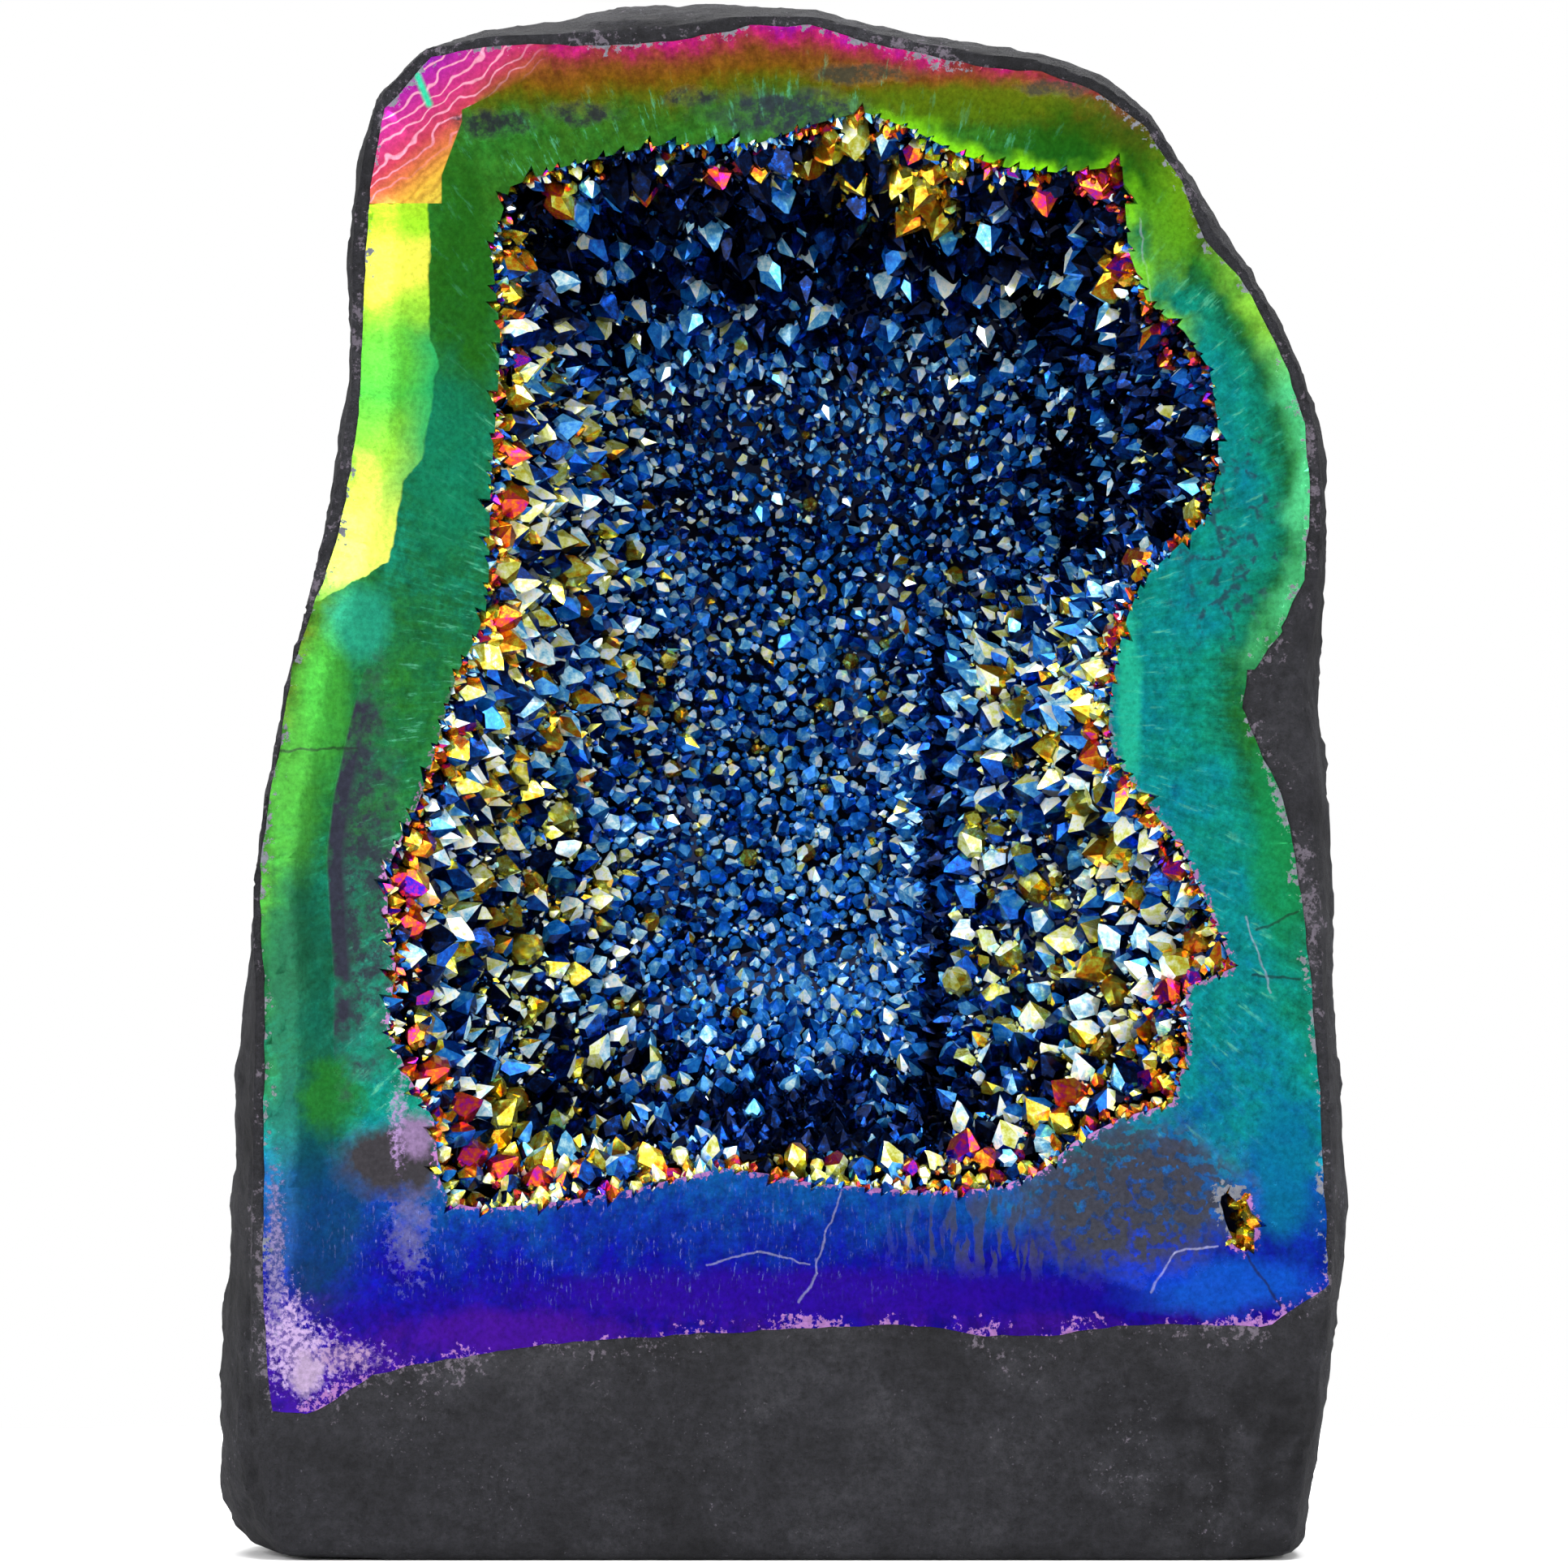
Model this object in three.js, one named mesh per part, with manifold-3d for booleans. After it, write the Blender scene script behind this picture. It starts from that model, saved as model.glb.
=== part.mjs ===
// A cathedral geode: half of a hollow lava nodule, sawn open, polished round the opening and stood on a flat base.
// Three things grew one inside the other, and each is a solid here: the dark basalt rock, the band of quartz that
// lines its hollow and shows as a polished rim on the sawn face, and the crust of quartz points on the band.
// Millimetres. +X is to the viewer's right, +Y runs from the sawn face to the back, and +Z is up.
import * as THREE from "three";
import { mergeVertices } from "three/addons/utils/BufferGeometryUtils.js";
import Module from "manifold-3d";

const ROCK_DEPTH = 112; // from the sawn face to the back of the rock
const WIDEST_AT = 22; // how far behind the sawn face the rock is widest
const BACK_FULLNESS = 2.4; // 2 would be an elliptical back, and more is boxier
const BACK_SECTIONS = [0.2, 0.38, 0.54, 0.68, 0.8, 0.9, 0.97]; // shares of the way from WIDEST_AT to the back
const RIND_MIN = 1.2; // the least rock left outside the quartz band on the sawn face
const FLARE_MIN = 0.8; // the least that the rock widens behind the sawn face
const SEAT_GAP = 0.3; // between one solid and the next that grew on it
const LUMP_HEIGHT = 6; // of the rock's lumps and hollows, from the lowest to the highest
const LEDGE_HEIGHT = 3; // of the low ledges that run across the back
const LEDGE_PITCH = 34;
const VERTICES_ROUND = 70; // vertices round each section, before the corners of the base are added
const CENTRE = { x: 5, z: 146 }; // the middle of the opening: every section is measured round it

const POINT_PITCH = 6.1; // spacing of the quartz points on the walls near the sawn face
const DEEP_PITCH = 4.9; // and at the bottom of the hollow, where they are smaller
const POINT_RISE = 0.74; // height of an average quartz point, as a share of its spacing
const VALLEY_SINK = 0.9; // how far the valleys between points lie under the surface that the points stand on
const FRONT_MARGIN = 15; // how far the points are carried on in front of the sawn face, before the saw cuts them

// Outlines on the sawn face, as points [x, z] joined by a smooth closed curve, clockwise from the lower left.
const SILHOUETTE = [
  [-84, 0], [-89.5, 1.4], [-94, 5], [-96, 12], [-95.8, 29], [-93.4, 56], [-92.6, 82], [-90.5, 98], [-89.5, 113],
  [-85.5, 136.5], [-78.5, 169.5], [-74, 196], [-73.5, 222], [-72, 237], [-64.5, 252.5], [-55.5, 256], [-47, 259],
  [-36, 259.8], [-30.5, 262], [-3, 262], [6.5, 261.5], [13.5, 259.3], [30, 256.5], [46.5, 253.5], [56, 249],
  [64, 242.5], [70.5, 231.5], [79.5, 218.5], [88, 202.5], [92.5, 186], [93, 166.5], [91.5, 146], [93.5, 122.5],
  [94.5, 87], [96.5, 60.5], [94.5, 37], [91.5, 15], [89, 2.2], [86, 0],
];
const FACE_EDGE = [
  [-82, 0], [-85, 3], [-86.5, 12], [-87.3, 60], [-87, 98], [-88, 113], [-84.5, 136.5], [-77.5, 168], [-72, 196],
  [-71.8, 222], [-69.5, 237], [-63.5, 251], [-50, 254.6], [-30, 256], [0, 258], [12, 256.5], [30, 252.5],
  [47, 250], [61, 242], [71, 224], [79, 213], [89, 192], [90, 166.5], [88, 146], [90, 122.5], [91, 87],
  [91.6, 60.5], [90.5, 37], [88.5, 12], [86, 2.2], [83, 0],
];
const POLISHED_EDGE = [
  [-85.4, 27], [-86, 44], [-86.1, 71], [-85.8, 97], [-87, 113], [-83.2, 138.3], [-80.5, 152.6], [-74.8, 167.6],
  [-70.6, 188], [-69.1, 216.5], [-67.5, 235.6], [-62.8, 249.6], [-58, 251.6], [-48, 253.3], [-22, 253.5],
  [-4.4, 256.6], [3.1, 257], [16, 253.5], [32.4, 250.1], [47.3, 248], [59.6, 241], [68, 228], [70.4, 221.3],
  [77.2, 213.8], [87, 192], [88.1, 179.8], [86.4, 162], [77.6, 149], [77, 142.5], [83.8, 127.4], [87.7, 103.6],
  [90, 71], [89.2, 43.5], [56.8, 40.8], [39.2, 38.6], [22.8, 40.8], [-11.2, 39.4], [-43.8, 37], [-72.4, 31],
  [-79.2, 25.8],
];
const OPENING_EDGE = [
  [-56, 60.8], [-56.7, 71], [-64.5, 86], [-65.6, 93], [-63.9, 103.6], [-66.6, 112], [-59.8, 128], [-53.3, 150],
  [-49.5, 157], [-48.3, 180], [-46.8, 207], [-48.3, 216.5], [-46, 229], [-31.6, 234.2], [-18, 237], [-4.4, 237],
  [14.7, 242.4], [29.6, 235.3], [47.4, 232.4], [51.1, 237], [56.6, 237], [56.8, 224.7], [63.6, 207], [69.6, 204.5],
  [73.2, 182.5], [70.2, 173], [61.2, 165.5], [55.2, 146], [55.5, 135], [65.7, 121.3], [73.2, 106.4], [77.5, 101],
  [66.8, 95], [68, 86], [65.7, 77], [52.8, 73], [39.8, 63.5], [5.2, 63.5], [-8.4, 66], [-18, 64], [-35.6, 60.4],
];

// How the hollows narrow with depth: the outline's scale about CENTRE, and the depth behind the sawn face.
const BAND_BACK = [[0.955, 18], [0.87, 44], [0.6, 68]];
const BAND_BACK_END = 76;
const CRUST_BACK = [[1, 6], [0.93, 28], [0.76, 50], [0.42, 62]];
const CRUST_BACK_END = 66;
// The surface that the points stand on, from the bottom of the hollow to the sawn face and on in front of it.
const HOLLOW_PROFILE = [
  [0, 60.5], [0.28, 58.5], [0.55, 52.5], [0.77, 39], [0.89, 22], [0.96, 6], [0.98, 0], [1, -14], [1.02, -40],
];
const HOLLOW_RIM = 6; // the place in that list where the surface meets the sawn face

// A small hole in the polished band at the lower right.
const VUG = { x: 76.3, z: 57.5, halfWidth: 2.8, halfHeight: 6.2, depth: 7, tilt: 0.3 };

const wasm = await Module();
wasm.setup();

// A repeatable stream of numbers from 0 to 1.
function numbers(seed) {
  let state = seed;
  return () => {
    state = (state + 0x6d2b79f5) | 0;
    let mixed = Math.imul(state ^ (state >>> 15), 1 | state);
    mixed = (mixed + Math.imul(mixed ^ (mixed >>> 7), 61 | mixed)) ^ mixed;
    return ((mixed ^ (mixed >>> 14)) >>> 0) / 4294967296;
  };
}

// A step from 0 to 1 with soft ends.
function softStep(t) {
  const held = Math.min(1, Math.max(0, t));
  return held * held * (3 - 2 * held);
}

// A round hump of height 1 at 0 that fades out either side.
function hump(t) {
  return Math.exp(-t * t);
}

// The smooth closed curve through an outline's points, as many short chords.
function curveOf(points) {
  const through = points.map(([x, z]) => new THREE.Vector3(x, 0, z));
  return new THREE.CatmullRomCurve3(through, true, "centripetal").getPoints(points.length * 16);
}

// The distance from CENTRE to a curve in the direction of an angle.
function reach(curve, angle) {
  const dx = Math.cos(angle);
  const dz = Math.sin(angle);
  let best = 0;
  for (let i = 0; i + 1 < curve.length; i++) {
    const ax = curve[i].x - CENTRE.x;
    const az = curve[i].z - CENTRE.z;
    const bx = curve[i + 1].x - CENTRE.x;
    const bz = curve[i + 1].z - CENTRE.z;
    const sideA = dx * az - dz * ax;
    const sideB = dx * bz - dz * bx;
    if (sideA * sideB > 0 || sideA === sideB) continue;
    const t = sideA / (sideA - sideB);
    best = Math.max(best, (ax + t * (bx - ax)) * dx + (az + t * (bz - az)) * dz);
  }
  return best;
}

// The directions in which every section has a vertex: evenly round, and at the corners of the base.
function directions() {
  const corners = SILHOUETTE.filter(([, z]) => z < 13).map(([x, z]) => Math.atan2(z - CENTRE.z, x - CENTRE.x));
  const pitch = (2 * Math.PI) / VERTICES_ROUND;
  const even = Array.from({ length: VERTICES_ROUND }, (_, i) => -Math.PI + (i + 0.5) * pitch);
  const apart = even.filter((a) => corners.every((c) => Math.abs(a - c) > pitch / 4));
  return [...apart, ...corners].sort((a, b) => a - b);
}

const ANGLES = directions();
const opening = curveOf(OPENING_EDGE);
const polishedReach = reaches(curveOf(POLISHED_EDGE));
const openingReach = reaches(opening);
const faceReach = reaches(curveOf(FACE_EDGE)).map((r, i) => Math.max(r, polishedReach[i] + RIND_MIN));
const widestReach = reaches(curveOf(SILHOUETTE)).map((r, i) => Math.max(r, faceReach[i] + FLARE_MIN));

function reaches(curve) {
  return ANGLES.map((angle) => reach(curve, angle));
}

// A ring of vertices at a depth, at the given distances from CENTRE, kept above the flat base.
function ringAt(distances, depth, scale = 1, grow = 0) {
  return ANGLES.map((angle, i) => {
    const r = distances[i] * scale + grow;
    return new THREE.Vector3(CENTRE.x + r * Math.cos(angle), depth, Math.max(0, CENTRE.z + r * Math.sin(angle)));
  });
}

// The lumps, hollows and ledges of the rock's outside, as a height above its plain form.
function roughness(p) {
  const broad = Math.sin(p.x / 17 + p.y / 13) + Math.sin(p.z / 15 - p.x / 27 + 1.3) + Math.sin(p.y / 9 + p.z / 21 + 4);
  const fine = Math.sin(p.x / 5.3 + p.z / 8.1) * Math.sin(p.y / 6.7 - p.z / 7.3 + 2);
  const along = (p.z + 0.35 * p.y + 4 * Math.sin(p.x / 19)) / LEDGE_PITCH;
  const ledge = softStep((along - Math.floor(along)) * 4) - (along - Math.floor(along));
  return LUMP_HEIGHT * (broad / 6 + fine / 5) + LEDGE_HEIGHT * ledge;
}

// The rock's outline behind its widest place, with the bays of its front outline softened away.
function softened(share) {
  let distances = widestReach;
  const rounds = Math.round(share * 14);
  for (let round = 0; round < rounds; round++) {
    distances = distances.map((r, i) => {
      if (CENTRE.z + r * Math.sin(ANGLES[i]) < 20) return r;
      const before = distances[(i + ANGLES.length - 1) % ANGLES.length];
      return (before + 2 * r + distances[(i + 1) % ANGLES.length]) / 4;
    });
  }
  return distances;
}

// A section of the rock's back. It narrows towards the middle of the base, so the base stays flat.
function backRing(share) {
  const width = (1 - share ** BACK_FULLNESS) ** (1 / BACK_FULLNESS);
  const depth = WIDEST_AT + share * (ROCK_DEPTH - WIDEST_AT);
  return ringAt(softened(share), depth, 1).map((p) => {
    const placed = new THREE.Vector3(p.x * width, depth, p.z * width);
    if (placed.z < 0.01) return placed;
    const outward = new THREE.Vector3(placed.x, 0, placed.z).normalize();
    const height = roughness(placed) * softStep(share * 4) * softStep(placed.z / 12);
    placed.addScaledVector(outward, height);
    placed.y -= height * share * 0.5;
    return placed;
  });
}

// An indexed geometry whose faces all point outwards.
function facingOut(vertices, faces) {
  let volume = 0;
  for (let i = 0; i < faces.length; i += 3) {
    const [a, b, c] = faces.slice(i, i + 3).map((place) => vertices[place]);
    volume += a.dot(new THREE.Vector3().crossVectors(b, c));
  }
  const outward = volume > 0 ? faces : faces.toReversed();
  return new THREE.BufferGeometry().setFromPoints(vertices).setIndex(outward);
}

// A closed skin from one pole, through rings of vertices, to another pole.
function closedSkin(startPole, rings, endPole) {
  const vertices = [startPole, ...rings.flat(), endPole];
  const count = ANGLES.length;
  const faces = [];
  const at = (ring, i) => 1 + ring * count + (i % count);
  for (let i = 0; i < count; i++) {
    faces.push(0, at(0, i + 1), at(0, i));
    for (let ring = 0; ring + 1 < rings.length; ring++) {
      faces.push(at(ring, i), at(ring, i + 1), at(ring + 1, i + 1));
      faces.push(at(ring, i), at(ring + 1, i + 1), at(ring + 1, i));
    }
    faces.push(at(rings.length - 1, i), at(rings.length - 1, i + 1), vertices.length - 1);
  }
  return facingOut(vertices, faces);
}

function pole(depth, x = CENTRE.x, z = CENTRE.z) {
  return new THREE.Vector3(x, depth, z);
}

function toSolid(geometry) {
  const merged = mergeVertices(geometry, 1e-4);
  const vertProperties = new Float32Array(merged.attributes.position.array);
  const triVerts = new Uint32Array(merged.index.array);
  return new wasm.Manifold(new wasm.Mesh({ numProp: 3, vertProperties, triVerts }));
}

function toGeometry(solid) {
  const mesh = solid.getMesh();
  return new THREE.BufferGeometry()
    .setAttribute("position", new THREE.BufferAttribute(mesh.vertProperties, 3))
    .setIndex(new THREE.BufferAttribute(mesh.triVerts, 1));
}

// The rock: the seat of the quartz band, the rough rim of the sawn face, the flaring sides and the lumpy back.
function basaltRock() {
  const seat = BAND_BACK.map(([scale, depth]) => ringAt(polishedReach, depth, scale)).reverse();
  const between = (t) => faceReach.map((r, i) => r + t * (widestReach[i] - r));
  const sides = [ringAt(between(0.45), 3), ringAt(between(0.85), 11), ringAt(widestReach, WIDEST_AT)];
  const face = [ringAt(polishedReach, 0), ringAt(faceReach, 0)];
  const back = BACK_SECTIONS.map(backRing);
  return closedSkin(pole(BAND_BACK_END), [...seat, ...face, ...sides, ...back], pole(ROCK_DEPTH, 0, 0));
}

// The small open hole in the band, as the solid that is cut away.
function vugCut() {
  const cut = new THREE.IcosahedronGeometry(1, 1);
  cut.scale(VUG.halfWidth, VUG.depth, VUG.halfHeight);
  cut.rotateY(-VUG.tilt);
  cut.translate(VUG.x, 0, VUG.z);
  cut.deleteAttribute("normal");
  cut.deleteAttribute("uv");
  return toSolid(cut);
}

// The band of quartz: a bowl in the rock, with its polished rim on the sawn face.
function quartzBand() {
  const seat = CRUST_BACK.map(([scale, depth]) => ringAt(openingReach, depth + SEAT_GAP, scale, SEAT_GAP)).reverse();
  const face = [ringAt(openingReach, 0, 1, SEAT_GAP), ringAt(polishedReach, 0, 1, -SEAT_GAP)];
  const outside = BAND_BACK.map(([scale, depth]) => ringAt(polishedReach, depth - SEAT_GAP, scale, -SEAT_GAP));
  const rings = [...seat, ...face, ...outside];
  const bowl = closedSkin(pole(CRUST_BACK_END + SEAT_GAP), rings, pole(BAND_BACK_END - SEAT_GAP));
  return toGeometry(toSolid(bowl).subtract(vugCut()));
}

// How much of its depth the hollow loses where the wall bulges in: a bold lobe at the lower right that ends in a
// sharp crease, a low swelling at the lower left, and a ledge under the roof.
function bulge(x, z) {
  const rightLobe = 0.44 * softStep((x - 24) / 6) * softStep((z - 58) / 14) * softStep((162 - z) / 26);
  const leftLobe = 0.24 * hump((x + 44) / 20) * hump((z - 108) / 42);
  const ledge = 0.14 * hump((x + 4) / 26) * hump((z - 212) / 9);
  return rightLobe + leftLobe + ledge;
}

// The lengths of the profile's stretches in the direction of an angle.
function stretches(angle) {
  const edge = reach(opening, angle);
  return HOLLOW_PROFILE.slice(1).map(([scale, depth], i) => {
    const [scaleBefore, depthBefore] = HOLLOW_PROFILE[i];
    return Math.hypot((scale - scaleBefore) * edge, depth - depthBefore);
  });
}

// How far it is to walk from the bottom of the hollow to its rim in the direction of an angle.
function rimWalk(angle) {
  return stretches(angle).slice(0, HOLLOW_RIM).reduce((sum, length) => sum + length, 0);
}

// The hollow's surface where a walk from its bottom ends, for a walk laid out flat as [u, v].
function hollowPoint(u, v) {
  const angle = Math.atan2(v, u);
  const lengths = stretches(angle);
  let left = Math.hypot(u, v);
  let i = 0;
  while (left > lengths[i] && i + 1 < lengths.length) left -= lengths[i++];
  const t = left / lengths[i];
  const [scaleA, depthA] = HOLLOW_PROFILE[i];
  const [scaleB, depthB] = HOLLOW_PROFILE[i + 1];
  const r = reach(opening, angle) * (scaleA + t * (scaleB - scaleA));
  const x = CENTRE.x + r * Math.cos(angle);
  const z = CENTRE.z + r * Math.sin(angle);
  const depth = depthA + t * (depthB - depthA);
  return new THREE.Vector3(x, depth > 0 ? depth * (1 - bulge(x, z)) : depth, z);
}

// The same surface, raised along its own normal into the hollow.
function hollowRaised(u, v, rise) {
  const step = 1.5;
  const alongU = hollowPoint(u + step, v).sub(hollowPoint(u - step, v));
  const alongV = hollowPoint(u, v + step).sub(hollowPoint(u, v - step));
  return hollowPoint(u, v).addScaledVector(alongU.cross(alongV).normalize(), rise);
}

// The feet of the quartz points, scattered over the hollow so that no two stand closer than their pitch.
function scatterPoints() {
  const next = numbers(11);
  const tries = [];
  const widest = 170;
  const step = 1.9;
  for (let u = -widest; u < widest; u += step) {
    for (let v = -widest; v < widest; v += step) {
      const at = { u: u + (next() - 0.5) * step, v: v + (next() - 0.5) * step, order: next() };
      if (Math.hypot(at.u, at.v) < rimWalk(Math.atan2(at.v, at.u)) + FRONT_MARGIN) tries.push(at);
    }
  }
  const feet = [];
  for (const at of tries.sort((a, b) => a.order - b.order)) {
    at.foot = hollowPoint(at.u, at.v);
    const depthShare = Math.max(0, at.foot.y) / HOLLOW_PROFILE[0][1];
    at.pitch = POINT_PITCH + (DEEP_PITCH - POINT_PITCH) * depthShare;
    if (feet.every((other) => other.foot.distanceTo(at.foot) > at.pitch)) feet.push(at);
  }
  return feet;
}

// Whether a place lies inside the circle through a triangle's corners.
function circleHolds(triangle, at) {
  return Math.hypot(at.u - triangle.centre.u, at.v - triangle.centre.v) < triangle.radius;
}

function triangleOf(a, b, c) {
  const d = 2 * (a.u * (b.v - c.v) + b.u * (c.v - a.v) + c.u * (a.v - b.v));
  const [qa, qb, qc] = [a, b, c].map((at) => at.u * at.u + at.v * at.v);
  const centre = {
    u: (qa * (b.v - c.v) + qb * (c.v - a.v) + qc * (a.v - b.v)) / d,
    v: (qa * (c.u - b.u) + qb * (a.u - c.u) + qc * (b.u - a.u)) / d,
  };
  return { corners: d > 0 ? [a, b, c] : [a, c, b], centre, radius: Math.hypot(a.u - centre.u, a.v - centre.v) };
}

// The Delaunay triangles between the points' feet, laid out flat: each new foot replaces the triangles whose circle
// holds it with a fan to itself.
function neighbourTriangles(feet) {
  const far = 2000;
  const frame = [{ u: -far, v: -far }, { u: far, v: -far }, { u: 0, v: far }];
  let triangles = [triangleOf(...frame)];
  for (const at of feet) {
    const held = triangles.filter((triangle) => circleHolds(triangle, at));
    const sides = held.flatMap(({ corners: [a, b, c] }) => [[a, b], [b, c], [c, a]]);
    const outer = sides.filter(([a, b]) => !sides.some(([c, d]) => a === d && b === c));
    triangles = triangles.filter((triangle) => !held.includes(triangle));
    triangles.push(...outer.map(([a, b]) => triangleOf(a, b, at)));
  }
  const longest = 4 * POINT_PITCH;
  return triangles.filter((triangle) => !triangle.corners.some((at) => frame.includes(at)) && triangle.radius < longest);
}

// The open space of the hollow: a blanket of quartz points, closed in front by one far vertex. Each point is a
// pyramid from its tip to the valleys where it meets its neighbours.
function openSpace() {
  const next = numbers(5);
  const feet = scatterPoints();
  const triangles = neighbourTriangles(feet);
  const vertices = [];
  for (const at of feet) {
    const lean = () => (next() - 0.5) * 0.5 * at.pitch;
    const rise = at.pitch * POINT_RISE * (0.6 + 0.8 * next());
    at.index = vertices.push(hollowRaised(at.u + lean(), at.v + lean(), rise)) - 1;
    at.sides = 0;
  }
  const sideOwner = new Map();
  const sideKey = (a, b) => a.index + " " + b.index;
  for (const triangle of triangles) {
    const [a, b, c] = triangle.corners;
    const mean = (name) => (a[name] + b[name] + c[name]) / 3;
    triangle.valley = vertices.push(hollowRaised(mean("u"), mean("v"), -VALLEY_SINK)) - 1;
    for (const [from, to] of [[a, b], [b, c], [c, a]]) sideOwner.set(sideKey(from, to), triangle);
  }
  // A point is whole where triangles go all the way round it.
  const broken = new Set();
  for (const triangle of triangles) {
    const [a, b, c] = triangle.corners;
    for (const [from, to] of [[a, b], [b, c], [c, a]]) {
      if (!sideOwner.has(sideKey(to, from))) broken.add(from).add(to);
    }
  }
  const faces = [];
  for (const { corners: [a, b, c], valley } of triangles) {
    for (const [from, to] of [[a, b], [b, c], [c, a]]) {
      if (!broken.has(from)) faces.push(from.index, sideOwner.get(sideKey(to, from)).valley, valley);
    }
  }
  closeInFront(vertices, faces);
  return facingOut(vertices, faces);
}

// Closes a sheet from its open sides to a vertex far in front of the sawn face.
function closeInFront(vertices, faces) {
  const open = new Map();
  for (let i = 0; i < faces.length; i += 3) {
    for (let k = 0; k < 3; k++) {
      const from = faces[i + k];
      const to = faces[i + ((k + 1) % 3)];
      if (!open.delete(to + " " + from)) open.set(from + " " + to, [from, to]);
    }
  }
  const front = vertices.push(pole(-4 * FRONT_MARGIN)) - 1;
  for (const [from, to] of open.values()) faces.push(to, from, front);
}

// The crust: what lies between the band's seat and the open space, cut flush with the sawn face.
function crystalCrust() {
  const back = CRUST_BACK.map(([scale, depth]) => ringAt(openingReach, depth, scale));
  const lining = closedSkin(pole(0), [ringAt(openingReach, 0), ...back], pole(CRUST_BACK_END));
  const bodies = toSolid(lining).subtract(toSolid(openSpace())).decompose();
  return toGeometry(bodies.sort((a, b) => b.volume() - a.volume())[0]);
}

function named(name, geometry, material) {
  const mesh = new THREE.Mesh(geometry, material);
  mesh.name = name;
  return mesh;
}

const basalt = new THREE.MeshStandardMaterial({ color: 0x3f3f43, roughness: 0.92, metalness: 0 });
const filmedBand = new THREE.MeshStandardMaterial({ color: 0x149078, roughness: 0.22, metalness: 0.55 });
const filmedPoints = new THREE.MeshStandardMaterial({ color: 0x2656b8, roughness: 0.14, metalness: 0.85 });

const geode = new THREE.Group();
geode.add(named("basalt_rock", basaltRock(), basalt));
geode.add(named("quartz_band", quartzBand(), filmedBand));
geode.add(named("crystal_crust", crystalCrust(), filmedPoints));

// The part's own origin is the middle of the base of its box.
const box = new THREE.Box3().setFromObject(geode);
geode.position.set(-(box.min.x + box.max.x) / 2, -(box.min.y + box.max.y) / 2, -box.min.z);

export default geode;
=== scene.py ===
# %% [markdown]
# # A cathedral geode under a rainbow film
#
# The real object is half of a hollow lava nodule. Its outside is dark basalt. Its hollow is lined with a band of
# quartz that was sawn and polished into a wide rim, and quartz points grew on that lining. The quartz was then
# coated with a film of metal so thin that it shows the colours of a soap bubble. The three solids come from the
# frame, and each is dressed here: the rock gets its rough skin, the rim its rolled edge and film colours, and the
# coarse crust is replaced by several thousand sharp quartz points.

# %% Load the frame
import functools
import math
import random

import bmesh
import bpy
import numpy as np
from mathutils import Matrix, Vector, noise
from mathutils.bvhtree import BVHTree
from mathutils.kdtree import KDTree


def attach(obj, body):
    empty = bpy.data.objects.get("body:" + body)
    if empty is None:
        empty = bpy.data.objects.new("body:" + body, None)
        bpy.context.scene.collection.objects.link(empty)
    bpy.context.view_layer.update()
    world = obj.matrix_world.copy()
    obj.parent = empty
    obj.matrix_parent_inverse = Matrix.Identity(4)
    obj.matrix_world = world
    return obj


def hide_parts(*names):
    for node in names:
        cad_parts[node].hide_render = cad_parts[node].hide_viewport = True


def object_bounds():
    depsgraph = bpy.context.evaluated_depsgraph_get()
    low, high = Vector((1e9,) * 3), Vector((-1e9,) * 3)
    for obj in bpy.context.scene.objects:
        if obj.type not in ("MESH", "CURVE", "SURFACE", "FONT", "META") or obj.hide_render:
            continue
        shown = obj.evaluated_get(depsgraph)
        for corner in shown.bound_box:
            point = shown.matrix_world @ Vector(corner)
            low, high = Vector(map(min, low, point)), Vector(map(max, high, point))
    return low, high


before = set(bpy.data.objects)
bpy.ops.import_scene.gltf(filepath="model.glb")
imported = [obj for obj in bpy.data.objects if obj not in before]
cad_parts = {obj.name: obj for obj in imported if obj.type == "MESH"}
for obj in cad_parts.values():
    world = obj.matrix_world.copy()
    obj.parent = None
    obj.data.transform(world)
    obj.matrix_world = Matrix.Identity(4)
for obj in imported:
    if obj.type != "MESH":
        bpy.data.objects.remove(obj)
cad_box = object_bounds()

MM = 0.001
FRONT = cad_box[0].y  # the sawn face
TOP = cad_box[1].z
MIDDLE = Vector((5 * MM, FRONT, 146 * MM))  # the middle of the opening
print("box in mm:", [round(v / MM, 1) for corner in cad_box for v in corner])

# %% [markdown]
# Every piece starts as a copy of its solid. A solid from the frame is a pile of loose triangles, so the copy's
# corners are joined first. That lets the operators walk over its surface, and leaves the solid itself untouched.


# %% A joined copy of a solid, and a finished piece
def joined_copy(node_name):
    shape = bmesh.new()
    shape.from_mesh(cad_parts[node_name].data)
    bmesh.ops.remove_doubles(shape, verts=shape.verts, dist=0.003 * MM)
    return shape


def as_mesh(shape, name):
    mesh = bpy.data.meshes.new(name)
    shape.to_mesh(mesh)
    shape.free()
    return mesh


def as_object(mesh):
    piece = bpy.data.objects.new(mesh.name, mesh)
    bpy.context.scene.collection.objects.link(piece)
    return piece


def finish_piece(mesh, node_name, material):
    piece = as_object(mesh)
    mesh.materials.append(material)
    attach(piece, "root")
    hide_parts(node_name)
    mesh.calc_loop_triangles()
    print(piece.name, "has", len(mesh.loop_triangles), "triangles")
    return piece


# %% [markdown]
# Materials are built from nodes. One helper adds a node, sets its properties, and links or fills its sockets. It
# hands back the node's first live output, so that calls can be nested. Colours are written as sRGB hex values, as a
# paint program shows them, and one function turns them to the linear values that the renderer needs.


# %% A node, a colour, a row of stops and a closed material
def linear(hex_colour):
    channels = [int(hex_colour[i : i + 2], 16) / 255 for i in (1, 3, 5)]
    return (*[c / 12.92 if c <= 0.04045 else ((c + 0.055) / 1.055) ** 2.4 for c in channels], 1)


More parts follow.
